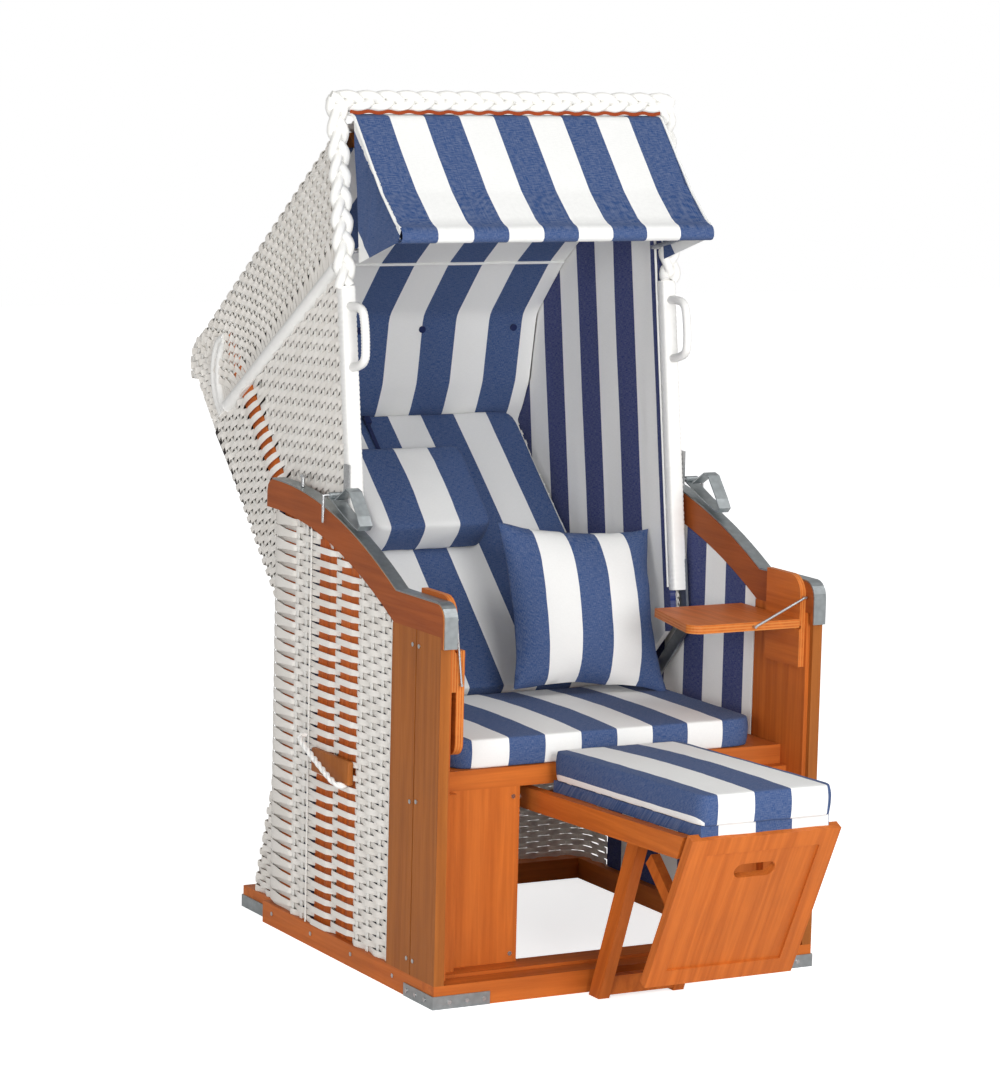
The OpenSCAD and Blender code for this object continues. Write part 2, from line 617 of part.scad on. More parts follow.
// Awning
module awning_tube() { color(steel) hood() {
    pin(-awn_tube_w / 2, awn_tube_w / 2, awn_tube[0], awn_tube[1], awn_tube_d);
    both() {
        wire([[arm_in + 10, awn_pivot[0], awn_pivot[1]], [arm_in - 12, awn_pivot[0], awn_pivot[1]],
            [arm_in - 12, awn_tube[0], awn_tube[1]]], awn_arm_d);
    }
} }
rim_front = hood_y - 12;
cloth_top = rim_z - cloth_t - soft_gap;
cloth_line = [[wrap_y - 12, cloth_top], [rim_front - 4, cloth_top - 8], [hood_y - 62, rim_z - 72], [hood_y - 118, rim_z - 160],
    [awn_tube[0] - awn_tube_d / 2 - 0.4, awn_tube[1] + 6], [awn_tube[0] - awn_tube_d / 2 - 0.4, awn_tube[1] - 8],
    [awn_tube[0] - 2, awn_tube[1] - 24]];
module awning_cloth() { color(blue) hood() {
    plate(-awn_tube_w / 2, awn_tube_w / 2, ribbon(cloth_line, -cloth_t));
    both() difference() {
        plate(awn_tube_w / 2 - cloth_t, awn_tube_w / 2, concat([for (i = [1:5]) cloth_line[i]],
            [[rim_front - soft_gap, awn_pivot_z - 22], [rim_front - soft_gap, cloth_top - 8]]));
        pin(0, half, awn_tube[0], awn_tube[1], awn_tube_d + 0.8);
    }
} }

// Trays: hinge at their lower outer edge, laid open
module tray(front, back) {
    translate([tray_out, tray_y + 12, tray_z]) rotate([-90, 0, 0]) cylinder(d = barrel_d, h = barrel_l);
    translate([0, tray_y, tray_z]) linear_extrude(tray_t) polygon(concat(
        [[tray_out, 0], [tray_out, tray_w], [tray_out - back, tray_w]],
        [for (a = [180:15:270]) [tray_out - front + 24 + 24 * cos(a), 24 + 24 * sin(a)]]));
}
module strut(a) {
    translate([strut_x, strut_y, strut_z]) {
        rotate([-90, 0, 0]) translate([0, 0, -wire_d / 2]) cylinder(d = wire_d, h = tray_y - strut_y + 11);
        rotate([0, a, 0]) {
            mirror([0, 0, 1]) cylinder(d = wire_d - 0.6, h = strut_l);
            translate([0, -wire_d / 2, -strut_l]) rotate([-90, 0, 0]) cylinder(d = wire_d, h = wire_d / 2 + tray_y - strut_y - 0.3);
        }
    }
}
module tray_right() { color(wood) put() tray(tray_l, tray_short); }
module tray_left() { color(wood) put() right(-1) translate([tray_out, 0, tray_z]) rotate([0, -90, 0])
    translate([-tray_out, 0, -tray_z]) tray(tray_short, tray_l);
}
module strut_right() { color(steel) put() strut(strut_open); }
module strut_left() { color(steel) put() right(-1) strut(strut_shut); }

// Latches: a strip with an eye on the rod and a loop over its front end
latch_x = half - arm_t / 2 - 13;
latch_line = [[rod_y - 1, rod_z - 4], [434, 850], [392, 832], [338, 814], [331, 821], [341, 836], [374, 876],
    [388, 880], [430, 856]];
module latch() {
    difference() {
        union() {
            plate(latch_x, latch_x + 26, ribbon(latch_line, 2.5));
            pin(latch_x, latch_x + 26, rod_y, rod_z, rod_d + 5);
        }
        pin(latch_x - 1, latch_x + 27, rod_y, rod_z, rod_d + 2 * fit);
    }
}
module latch_left() { color(steel) put() right(-1) latch(); }
module latch_right() { color(steel) put() latch(); }

// Footrest: along the rails, s runs to the front and h up, from the axle
module deck() { put() translate([0, axle_y, axle_z]) rotate([-rail_rise, 0, 0]) children(); }
module footrest_axle() { color(steel) put() {
    pin(0.3 - guide_in, guide_in - 0.3, axle_y, axle_z, axle_d);
    both() box(guide_in - 19, guide_in - 0.3, axle_y - 20, axle_y + 20, axle_z - 20.7, axle_z + 14);
} }
shaft = [axle_y - shaft_s, axle_z + shaft_s * tan(rail_rise)];
// Depths where the rails, the pad and the cushion end
rail_end = axle_y - (blade_y + 38);
deck_back = axle_y - 60;
pad_front = axle_y - (blade_y - 1);
hinge_d = 10;
blade_hinge = [blade_y + (blade_t + hinge_d / 2) * cos(blade_lean) + 14 * sin(blade_lean),
    blade_z + (blade_t + hinge_d / 2) * sin(blade_lean) - 14 * cos(blade_lean)];
module footrest_rails() { color(wood) deck() difference() {
    union() {
        both() plate(rail_half - rail_t, rail_half, [[16, -rail_h / 2], [16, rail_h / 2], [-rail_end - 8, rail_h / 2],
            [-rail_end + 12, -rail_h / 2]]);
        box(rail_t - rail_half, rail_half - rail_t, -rail_end + 14, -rail_end + 34, -6, rail_h / 2);
        box(rail_t - rail_half, rail_half - rail_t, -120, -100, -6, rail_h / 2);
        pin(-rail_half, rail_half, -shaft_s / cos(rail_rise), 0, axle_d);
        rotate([rail_rise, 0, 0]) translate([0, -axle_y, -axle_z]) {
            pin(-108, 108, blade_hinge[0], blade_hinge[1], 6);
            both() pin(101, 108, blade_hinge[0], blade_hinge[1], 8);
            both() box(101, 108, blade_hinge[0], blade_y + 58, blade_hinge[1] - 4, blade_hinge[1] + 2);
        }
    }
    pin(-rail_half - 1, rail_half + 1, 0, 0, axle_d + 2 * fit);
} }
module footrest_pad() { color(blue) deck() {
    plate(-cushion_w / 2, cushion_w / 2, [[5 - deck_back, rail_h / 2 + 0.3], [5 - deck_back, rail_h / 2 + pad_t],
        [-pad_front, rail_h / 2 + pad_t], [-pad_front, rail_h / 2 + 14], [6 - rail_end, rail_h / 2 + 14],
        [6 - rail_end, rail_h / 2 + 0.3]]);
} }
module footrest_cushion() { color(blue) deck() translate([0, -deck_back - cushion_l / 2, rail_h / 2 + pad_t + soft_gap])
    cushion(cushion_w, cushion_l, cushion_t, crown = 5);
}
leg_dir = atan2(foot_y - shaft[0], shaft[1]);
module footrest_legs() { color(wood) put() {
    across = [cos(leg_dir), sin(leg_dir)];
    down = [sin(leg_dir), -cos(leg_dir)];
    r = leg_w / 2;
    eye = [for (a = [0:15:180]) shaft + r * (cos(a) * across - sin(a) * down)];
    toes = [for (s = [-r, r]) shaft + s * across + (shaft[1] + s * across[1]) / cos(leg_dir) * down];
    difference() {
        union() {
            both() plate(leg_half - leg_t, leg_half, concat(eye, toes));
            box(leg_t - leg_half - 1, leg_half - leg_t + 1, foot_y - 19, foot_y + 1, 6, 40);
        }
        pin(-leg_half - 1, leg_half + 1, shaft[0], shaft[1], axle_d + 2 * fit);
    }
} }
// Front panel with its moulded frame and hand slot, hung at its top
module blade() { put() translate([0, blade_y, blade_z]) rotate([blade_lean, 0, 0]) children(); }
frame_w = 34;
slot_w = 82;
slot_h = 30;
module footrest_panel() { color(wood) blade() {
    difference() {
        union() {
            box(-rail_half, rail_half, 0, blade_t, -blade_l, 0);
            pin(-100, 100, blade_t + hinge_d / 2, -14, hinge_d);
            box(-100, 100, blade_t, blade_t + 5, -19, -9);
        }
        box(frame_w - rail_half, rail_half - frame_w, -1, 4, frame_w - blade_l, -frame_w);
        hull() for (s = [-1, 1]) translate([s * (slot_w - slot_h) / 2, 20, -64 - slot_h / 2]) rotate([90, 0, 0])
            cylinder(d = slot_h, h = 22, $fn = 32);
        pin(-101, 101, blade_t + hinge_d / 2, -14, 6 + 2 * fit);
    }
} }
module panel_braces() { color(wood) blade() both() {
    translate([46, blade_t, -blade_l + 42]) difference() {
        rotate([-75, 0, 0]) translate([0, -26, 0]) cube([18, 26, 205]);
        box(-1, 20, -80, 0, -80, 300);
    }
} }

front_sill();
side_sills();
rear_sill();
step_boards();
corner_brackets();
side_planks();
face_boards();
side_weave_left();
side_weave_right();
side_slats();
base_back();
base_linings();
arm_rail_left();
arm_rail_right();
rail_strips();
stop_bolts();
inner_posts();
front_panels();
seat_apron();
seat_frame();
seat_board();
seat_cushion();
throw_pillow();
tray_boards();
rope_handles();
footrest_guides();
pivot_bolts();
base_screws();
hood_side_left();
hood_side_right();
hood_shell();
braided_rim();
hood_posts();
hood_bars();
d_handles();
hood_battens();
hood_side_linings();
hood_back_lining();
back_cushion();
bolster();
bolster_strap();
lining_buttons();
latch_rods();
awning_tube();
awning_cloth();
tray_left();
tray_right();
strut_left();
strut_right();
latch_left();
latch_right();
footrest_axle();
footrest_rails();
footrest_pad();
footrest_cushion();
footrest_legs();
footrest_panel();
panel_braces();
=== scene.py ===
"""Looks for the hooded beach chair: wicker, striped cloth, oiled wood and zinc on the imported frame."""
import bisect
import math

import bmesh
import bpy
from mathutils import Matrix, Vector, noise


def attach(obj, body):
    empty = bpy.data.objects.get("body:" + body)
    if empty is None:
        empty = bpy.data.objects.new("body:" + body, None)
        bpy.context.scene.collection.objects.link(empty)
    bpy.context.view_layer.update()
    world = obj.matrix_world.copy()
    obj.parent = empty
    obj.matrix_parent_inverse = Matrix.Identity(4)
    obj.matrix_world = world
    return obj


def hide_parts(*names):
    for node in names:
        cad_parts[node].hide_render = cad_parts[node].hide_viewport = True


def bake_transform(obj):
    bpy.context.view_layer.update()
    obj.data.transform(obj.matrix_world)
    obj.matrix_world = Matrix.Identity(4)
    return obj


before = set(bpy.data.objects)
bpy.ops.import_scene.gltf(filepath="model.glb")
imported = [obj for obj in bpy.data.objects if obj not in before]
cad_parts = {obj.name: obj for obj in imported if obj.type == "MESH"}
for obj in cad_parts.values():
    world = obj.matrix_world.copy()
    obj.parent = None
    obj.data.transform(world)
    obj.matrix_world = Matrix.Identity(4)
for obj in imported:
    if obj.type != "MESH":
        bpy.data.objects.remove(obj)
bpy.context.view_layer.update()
scene = bpy.context.scene

# ---------------- places, all in millimetres as in the plans
MM = 0.001
SILL_T, HALF, INNER, HOOD_HALF = 44, 397, 369, 359
ARM_Z, ARM_RISE, ARM_BEND, ARM_RUN, ARM_BAND = 725, 137, 180, 520, 57
BASE_D, SILL_H, PLANK_END = 712, 42, 187
HOOD_Y, WRAP_Y, ROOF_Z, ROOF_FALL = 388, 414, 1541, math.radians(28.5)
CORNER_Y, BACK_RISE, BULGE_R, LOW_Y = 1150, math.radians(53.2), 80, 645
EDGE_R, SEAM_X = 50, 309
RIM_Z, RIM_H, BRAID_Z, WRAP_Z = 1552, 38, 1225, 634
BRAID_X, POST_X, POST_MID = 352, 344, 401
REST_LEAN, BLADE_LEAN = 49.5, 26.4
# Depth of the straps' and the stakes' middles below the surface, width of a stake, and a strap's rise over it
SKIN, STAKE_IN, STAKE_W, LIFT = 5, 5.7, 7.0, 4.2
# Stakes between roof and rib and how far down they reach, round the hub, and the gaps between the others
ROOF_STAKES, ROOF_SHARE, FAN_STAKES, STAKE_GAP, POST_GAP = 11, 0.78, 7, 26, 25
FAN_TOP, FAN_LOW = 1256, 578
# Half widths of the linings, the awning and its flaps; width of a flap's stripe
LINING_X, AWNING_X, FLAP_X, FLAP_STRIPE = 333.3, 329, 327.5, 118
RIM_EDGE = (404, 1549)
STRIPE = 72


def turn_x(degrees):
    return Matrix.Rotation(math.radians(degrees), 4, "X")


def shift(x, y, z):
    return Matrix.Translation((x, y, z))


BASE = Matrix.Scale(MM, 4) @ shift(0, -SILL_T / 2, 0)
HOOD = BASE @ shift(0, 540, 440) @ turn_x(-7.5) @ shift(0, -540, -440)
REST = HOOD @ shift(0, 511, 468) @ turn_x(REST_LEAN)
DECK = BASE @ shift(0, 150, 338) @ turn_x(-2)

# ---------------- camera, light and floor
def add(name, data):
    obj = bpy.data.objects.new(name, data)
    scene.collection.objects.link(obj)
    return obj


cam = add("camera", bpy.data.cameras.new("camera"))
yaw, pitch, roll = math.radians(28.729), math.radians(8.129), math.radians(1.375)
sight = Vector((math.sin(yaw) * math.cos(pitch), math.cos(yaw) * math.cos(pitch), -math.sin(pitch)))
level = Vector((math.cos(yaw), -math.sin(yaw), 0))
above = level.cross(sight)
cam_x = level * math.cos(roll) + above * math.sin(roll)
cam_y = above * math.cos(roll) - level * math.sin(roll)
cam.matrix_world = shift(-3.5176, -5.9196, 1.7909) @ Matrix((cam_x, cam_y, -sight)).transposed().to_4x4()
cam.data.sensor_fit = "HORIZONTAL"
cam.data.sensor_width = 36
cam.data.lens = 139.5
scene.camera = cam
scene.view_settings.view_transform = "Standard"


def srgb(r, g, b):
    return tuple(c / 255 / 12.92 if c < 11 else ((c / 255 + 0.055) / 1.055) ** 2.4 for c in (r, g, b)) + (1,)


def fill(tree, made, values):
    """Sets or links a node's inputs."""
    for key, value in values.items():
        if isinstance(value, bpy.types.NodeSocket):
            tree.links.new(value, made.inputs[key])
        else:
            made.inputs[key].default_value = value
    return made


def node(tree, kind, values=None, **settings):
    made = tree.nodes.new("ShaderNode" + kind)
    for key, value in settings.items():
        setattr(made, key, value)
    return fill(tree, made, values or {})


def maths(tree, operation, a, b=0.0, c=0.0):
    return node(tree, "Math", {0: a, 1: b, 2: c}, operation=operation).outputs[0]


def mix(tree, share, a, b):
    return node(tree, "Mix", {0: share, 6: a, 7: b}, data_type="RGBA").outputs[2]


def cloud(tree, place, scale, detail, **more):
    return node(tree, "TexNoise", {"Vector": place, "Scale": scale, "Detail": detail, **more}).outputs["Fac"]


def local(tree):
    return node(tree, "TexCoord").outputs["Object"]


def new_material(name, **shader):
    material = bpy.data.materials.new(name)
    material.use_nodes = True
    tree = material.node_tree
    surface = tree.nodes["Principled BSDF"]
    for key, value in shader.items():
        surface.inputs[key.replace("_", " ")].default_value = value
    return material, tree, surface


def effect(name, inputs, outputs):
    """An empty node group with its sockets, and its input and output nodes. Each use sets every input."""
    group = bpy.data.node_groups.new(name, "ShaderNodeTree")
    for way, sockets in (("INPUT", inputs), ("OUTPUT", outputs)):
        for title, kind in sockets:
            group.interface.new_socket(title, in_out=way, socket_type="NodeSocket" + kind)
    return group, group.nodes.new("NodeGroupInput").outputs, group.nodes.new("NodeGroupOutput").inputs


def use(tree, group, values):
    made = tree.nodes.new("ShaderNodeGroup")
    made.node_tree = group
    return fill(tree, made, values).outputs


world = bpy.data.worlds.new("studio")
scene.world = world
world.use_nodes = True
sky = world.node_tree
sky.nodes.clear()
path = node(sky, "LightPath")
seen = maths(sky, "MAXIMUM", path.outputs["Is Camera Ray"], path.outputs["Is Transmission Ray"])
dim = node(sky, "Background", {"Color": (1, 1, 1, 1), "Strength": 0.5})
plain = node(sky, "Background", {"Color": (1, 1, 1, 1), "Strength": 1.0})
mixed = node(sky, "MixShader", {0: seen, 1: dim.outputs[0], 2: plain.outputs[0]})
sky.links.new(mixed.outputs[0], node(sky, "OutputWorld").inputs[0])


def lamp(name, size, watts, place, target):
    light = bpy.data.lights.new(name, "AREA")
    light.shape, light.size, light.energy = "DISK", size, watts
    obj = add(name, light)
    obj.location = place
    obj.rotation_euler = (Vector(target) - Vector(place)).to_track_quat("-Z", "Y").to_euler()


lamp("key", 2.0, 180, (-1.0, -5.6, 2.0), (0, 0, 0.8))
lamp("side", 2.0, 85, (-4.2, -3.4, 1.5), (0, 0.3, 0.9))
lamp("top", 2.4, 36, (1.6, -2.4, 3.6), (0, 0.1, 0.6))

floor_mesh = bmesh.new()
bmesh.ops.create_grid(floor_mesh, x_segments=1, y_segments=1, size=14)
floor = bpy.data.meshes.new("floor")
floor_mesh.to_mesh(floor)
floor_mesh.free()
floor = add("floor", floor)
ground, tree, surface = new_material("pale_floor", Roughness=0.9, Specular_IOR_Level=0.1)
surface.inputs["Base Color"].default_value = (0.9, 0.9, 0.9, 1)
ray = node(tree, "LightPath")
surface.inputs["Emission Color"].default_value = (1, 1, 1, 1)
glow = maths(tree, "MULTIPLY", ray.outputs["Is Camera Ray"], 0.72)
tree.links.new(glow, surface.inputs["Emission Strength"])
floor.data.materials.append(ground)

# ---------------- effects shared by the finishes
group, inp, out = effect("wood grain", [("Place", "Vector"), ("Light", "Color"), ("Dark", "Color")],
                         [("Color", "Color"), ("Roughness", "Float"), ("Height", "Float")])
rings = cloud(group, inp["Place"], 1.0, 3.0, Distortion=0.2)
bands = maths(group, "PINGPONG", maths(group, "MULTIPLY", rings, 8.0), 1.0)
fine = node(group, "VectorMath", {0: inp["Place"], 1: (9, 9, 9)}, operation="MULTIPLY").outputs[0]
fibres = cloud(group, fine, 1.0, 5.0, Roughness=0.7)
share = maths(group, "MULTIPLY_ADD", bands, 0.4, maths(group, "MULTIPLY", fibres, 0.5))
group.links.new(mix(group, share, inp["Light"], inp["Dark"]), out["Color"])
group.links.new(maths(group, "MULTIPLY_ADD", fibres, 0.25, 0.36), out["Roughness"])
height = maths(group, "MULTIPLY_ADD", fibres, 0.7, maths(group, "MULTIPLY", bands, 0.3))
group.links.new(height, out["Height"])
GRAIN = group

group, inp, out = effect("ply edge", [("Axis", "Vector"), ("Color", "Color"), ("Layer", "Color")],
                         [("Color", "Color")])
spot = node(group, "TexCoord")
facing = maths(group, "ABSOLUTE", node(group, "VectorMath", {0: spot.outputs["Normal"], 1: inp["Axis"]},
                                       operation="DOT_PRODUCT").outputs["Value"])
deep = node(group, "VectorMath", {0: spot.outputs["Object"], 1: inp["Axis"]},
            operation="DOT_PRODUCT").outputs["Value"]
layers = maths(group, "GREATER_THAN", maths(group, "FRACT", maths(group, "MULTIPLY", deep, 190.0)), 0.55)
edge = maths(group, "MULTIPLY", layers, maths(group, "LESS_THAN", facing, 0.5))
group.links.new(mix(group, edge, inp["Color"], inp["Layer"]), out["Color"])
PLY = group

group, inp, out = effect("wear and dust", [("Color", "Color"), ("Scale", "Float"), ("Amount", "Float")],
                         [("Color", "Color"), ("Mask", "Float")])
patches = cloud(group, local(group), inp["Scale"], 5.0, Roughness=0.62)
mask = node(group, "MapRange", {0: patches, 1: 0.35, 2: 0.75}).outputs[0]
share = maths(group, "MULTIPLY", mask, inp["Amount"])
group.links.new(mix(group, share, inp["Color"], (0.06, 0.045, 0.03, 1)), out["Color"])
group.links.new(mask, out["Mask"])
WEAR = group

group, inp, out = effect("sewn stripes", [("Across", "Float"), ("Along", "Float"), ("Width", "Float"),
                                          ("Start", "Float"), ("Blue", "Color"), ("White", "Color")],
                         [("Color", "Color"), ("Height", "Float"), ("Roughness", "Float")])


def threads_at(across, along, detail):
    place = node(group, "CombineXYZ", {0: maths(group, "MULTIPLY", inp["Across"], across),
                                       1: maths(group, "MULTIPLY", inp["Along"], along)}).outputs[0]
    return cloud(group, place, 1.0, detail)


slot_at = maths(group, "DIVIDE", maths(group, "SUBTRACT", inp["Across"], inp["Start"]),
                maths(group, "MULTIPLY", inp["Width"], 2.0))
white = maths(group, "GREATER_THAN", maths(group, "FRACT", maths(group, "ADD", slot_at, 50.0)), 0.5)
threads = maths(group, "ADD", threads_at(1400.0, 160.0, 3.0), threads_at(90.0, 1500.0, 2.0))
fleck = node(group, "MapRange", {0: threads, 1: 0.75, 2: 1.3}).outputs[0]
pale = mix(group, 0.34, inp["Blue"], inp["White"])
denim = mix(group, maths(group, "MULTIPLY", fleck, 0.4), inp["Blue"], pale)
linen = mix(group, maths(group, "MULTIPLY", fleck, 0.16), inp["White"], (0.55, 0.55, 0.54, 1))
group.links.new(mix(group, white, denim, linen), out["Color"])
group.links.new(threads, out["Height"])
group.links.new(maths(group, "MULTIPLY_ADD", fleck, 0.1, 0.8), out["Roughness"])
STRIPES = group

BLUE, WHITE, NAVY = srgb(30, 64, 116), srgb(233, 233, 231), srgb(20, 34, 78)


def finish(tree, surface, colour, roughness, height, strength, distance):
    tree.links.new(colour, surface.inputs["Base Color"])
    tree.links.new(roughness, surface.inputs["Roughness"])
    bump = node(tree, "Bump", {"Strength": strength, "Distance": distance, "Height": height})
    tree.links.new(bump.outputs[0], surface.inputs["Normal"])


RED, RED_DARK = srgb(212, 116, 46), srgb(164, 78, 24)


def wood(name, along, light=RED, dark=RED_DARK, ply=None, offset=0.0, lean=0.0):
    """Oiled wood with grain along x, y or z, leaned about x; ply is the axis through a layered board."""
    material, tree, surface = new_material(name, Specular_IOR_Level=0.2)
    scale = [0.033, 0.033, 0.033]
    scale["xyz".index(along)] = 0.77
    place = node(tree, "Mapping", {"Vector": local(tree), "Location": (offset, offset, offset),
                                   "Rotation": (math.radians(lean), 0, 0), "Scale": scale},
                 vector_type="TEXTURE")
    grain = use(tree, GRAIN, {"Place": place.outputs[0], "Light": light, "Dark": dark})
    colour = grain["Color"]
    if ply:
        axis = [0.0, 0.0, 0.0]
        axis["xyz".index(ply)] = 1.0
        colour = use(tree, PLY, {"Axis": axis, "Color": colour, "Layer": srgb(206, 128, 62)})["Color"]
    worn = use(tree, WEAR, {"Color": colour, "Scale": 6.0, "Amount": 0.16})
    finish(tree, surface, worn["Color"], grain["Roughness"], grain["Height"], 0.35, 0.0005)
    return material


WOOD_X = wood("oiled_pine_across", "x")
WOOD_Y = wood("oiled_pine_lengthwise", "y", offset=3.0)
WOOD_Z = wood("oiled_pine_upright", "z", offset=5.0)
LEANED = wood("oiled_pine_leaned", "z", offset=6.0, lean=BLADE_LEAN)
ARM = wood("oiled_ply_arm", "y", srgb(172, 88, 36), srgb(128, 58, 20), ply="x", offset=1.0)
PLANK = wood("oiled_spruce_plank", "z", srgb(176, 104, 42), srgb(136, 72, 24), offset=7.0)
TRAY_FLAT = wood("oiled_ply_tray_open", "y", ply="z")
TRAY_HUNG = wood("oiled_ply_tray_hung", "y", ply="x")
SLAT = wood("spruce_slat", "z", srgb(226, 122, 50), srgb(170, 78, 28), offset=2.0)


def metal(name, colour, rough, spangle):
    """Zinc with its crystal pattern; spangle is the pattern's scale."""
    material, tree, surface = new_material(name, Metallic=1.0)
    plates = node(tree, "TexVoronoi", {"Vector": local(tree), "Scale": spangle}).outputs["Distance"]
    darker = tuple(c * 0.55 for c in colour[:3]) + (1,)
    tone = mix(tree, maths(tree, "MULTIPLY", plates, 0.5), colour, darker)
    worn = use(tree, WEAR, {"Color": tone, "Scale": 14.0, "Amount": 0.2})
    finish(tree, surface, worn["Color"], maths(tree, "MULTIPLY_ADD", worn["Mask"], 0.2, rough), plates,
           0.12, 0.0004)
    return material


ZINC = metal("galvanised_steel", srgb(180, 186, 188), 0.34, 90.0)
BRIGHT = metal("bright_zinc", srgb(214, 215, 216), 0.2, 160.0)


def plastic(name, colour, rough, tones=None):
    """Woven or wound plastic strap: fine ribs along it and a tone from strap to strap."""
    material, tree, surface = new_material(name, Specular_IOR_Level=0.42)
    fine = cloud(tree, local(tree), 420.0, 3.0)
    shade = node(tree, "Attribute", attribute_name="tone").outputs["Fac"]
    worn = use(tree, WEAR, {"Color": mix(tree, shade, colour, tones or colour), "Scale": 11.0,
                            "Amount": 0.07})
    finish(tree, surface, worn["Color"], maths(tree, "MULTIPLY_ADD", fine, 0.2, rough), fine, 0.25, 0.0004)
    return material


WICKER = plastic("wicker_strap", srgb(236, 232, 226), 0.42, tones=srgb(218, 212, 203))
STAKE = plastic("wicker_stake", srgb(238, 236, 231), 0.4, tones=srgb(226, 223, 216))
BRAID = plastic("braided_white_strap", srgb(240, 239, 235), 0.4, tones=srgb(228, 226, 220))
WOUND = plastic("wound_white_strap", srgb(240, 239, 236), 0.38)


def cloth(name, width=STRIPE, start=0.0, blue=BLUE, white=WHITE):
    """Striped cloth: the width of a stripe, and where a blue one starts."""
    material, tree, surface = new_material(name, Specular_IOR_Level=0.1, Sheen_Weight=0.04,
                                           Sheen_Roughness=0.5)
    laid = node(tree, "UVMap", uv_map="cloth")
    parts = node(tree, "SeparateXYZ", {0: laid.outputs[0]})
    stripes = use(tree, STRIPES, {"Across": parts.outputs[0], "Along": parts.outputs[1], "Width": width * MM,
                                  "Start": start * MM, "Blue": blue, "White": white})
    finish(tree, surface, stripes["Color"], stripes["Roughness"], stripes["Height"], 0.3, 0.0006)
    return material


def plain_cloth(name, colour):
    material, tree, surface = new_material(name, Specular_IOR_Level=0.2, Sheen_Weight=0.1)
    weave = cloud(tree, local(tree), 700.0, 3.0)
    worn = use(tree, WEAR, {"Color": colour, "Scale": 20.0, "Amount": 0.12})
    finish(tree, surface, worn["Color"], maths(tree, "MULTIPLY_ADD", weave, 0.2, 0.72), weave, 0.3, 0.0005)
    return material


# Dark cloth for the side linings' faces towards the wicker: painted shade, so the gaps in the weave look like
# an unlit cavity
PAINTED_SHADE_BACKING = plain_cloth("painted_shade_backing", srgb(40, 34, 34))
PIPING = plain_cloth("white_piping", srgb(236, 236, 233))
NAVY_CLOTH = plain_cloth("navy_cloth", NAVY)

# ---------------- making and placing pieces


def put_piece(name, mesh, body, materials, replaced=()):
    obj = add(name, mesh)
    for material in materials:
        mesh.materials.append(material)
    if body:
        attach(obj, body)
    if replaced:
        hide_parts(*replaced)
    return obj


def piece(name, bm, place, body, materials, replaced=(), sharp=50, laid=None):
    """Closes a bmesh drawn in millimetres, lays its cloth if it has any, and puts it in its place."""
    bmesh.ops.recalc_face_normals(bm, faces=bm.faces)
    for face in bm.faces:
        face.smooth = True
    for e in bm.edges:
        e.smooth = e.calc_face_angle(0) < math.radians(sharp)
    if laid:
        layer = bm.loops.layers.uv.get("cloth") or bm.loops.layers.uv.new("cloth")
        for face in bm.faces:
            for corner in face.loops:
                corner[layer].uv = [c * MM for c in laid(corner.vert.co, face.normal)]
    bmesh.ops.transform(bm, matrix=place, verts=bm.verts)
    mesh = bpy.data.meshes.new(name)
    bm.to_mesh(mesh)
    bm.free()
    return put_piece(name, mesh, body, materials, replaced)


def rope(name, runs, place, body, materials, replaced=(), sides=3):
    """Round stock along lines of points. Each run is (points, radius at a point's number, closed)."""
    curve = bpy.data.curves.new(name, "CURVE")
    curve.dimensions, curve.bevel_depth, curve.bevel_resolution, curve.use_fill_caps = "3D", 1.0, sides, True
    for points, radius, closed in runs:
        spline = curve.splines.new("POLY")
        spline.points.add(len(points) - 1)
        for i, p in enumerate(points):
            spline.points[i].co = (*p, 1)
            spline.points[i].radius = radius(i) if callable(radius) else radius
        spline.use_cyclic_u = closed
    holder = bpy.data.objects.new(name + ".line", curve)
    mesh = bpy.data.meshes.new_from_object(holder)
    mesh.name = name
    bpy.data.objects.remove(holder)
    bpy.data.curves.remove(curve)
    mesh.transform(place)
    mesh.shade_smooth()
    return put_piece(name, mesh, body, materials, replaced)


def lengths(points):
    """Distance along a line of each of its points."""
    arcs = [0.0]
    for a, b in zip(points, points[1:]):
        arcs.append(arcs[-1] + (b - a).length)
    return arcs


def where(stops, at):
    """The stretch between two stops that holds a distance, and how far along it lies."""
    i = min(len(stops) - 2, max(0, bisect.bisect_right(stops, at) - 1))
    return i, (at - stops[i]) / max(1e-9, stops[i + 1] - stops[i])


def resample(points, step):
    """Points a set step apart along a line."""
    points = [Vector(p) for p in points]
    arcs = lengths(points)
    count = max(1, round(arcs[-1] / step))
    made = []
    for k in range(count + 1):
        i, share = where(arcs, arcs[-1] * k / count)
        made.append(points[i].lerp(points[i + 1], share))
    return made


def smooth_line(points, step, passes=3):
    """Rounds the corners of a line, then spaces its points."""
    line = [Vector(p) for p in points]
    for _ in range(passes):
        cut = [q for a, b in zip(line, line[1:]) for q in (a.lerp(b, 0.25), a.lerp(b, 0.75))]
        line = [line[0]] + cut + [line[-1]]
    return resample(line, step)


def flat(points):
    return [Vector((p.x, p.y)) for p in points]


def block(bm, place, size):
    """A box of a given size, its middle at a place."""
    made = bmesh.ops.create_cube(bm, size=1)["verts"]
    bmesh.ops.transform(bm, matrix=place @ Matrix.Diagonal((*size, 1)), verts=made)


def soften(bm, offset, segments=2):
    bmesh.ops.bevel(bm, geom=bm.edges[:], offset=offset, segments=segments, profile=0.5, affect="EDGES",
                    material=-1)


def thicken(bm, thickness):
    bmesh.ops.solidify(bm, geom=bm.faces[:], thickness=thickness)


def smooth(bm, times):
    for _ in range(times):
        bmesh.ops.smooth_vert(bm, verts=bm.verts, factor=0.5, use_axis_x=True, use_axis_y=True,
                              use_axis_z=True)


def push(bm, region, x):
    """Draws faces out along x into a closed slab."""
    made = bmesh.ops.extrude_face_region(bm, geom=region)["geom"]
    bmesh.ops.translate(bm, vec=(x, 0, 0), verts=[g for g in made if isinstance(g, bmesh.types.BMVert)])


# ---------------- wicker: straps over and under stakes


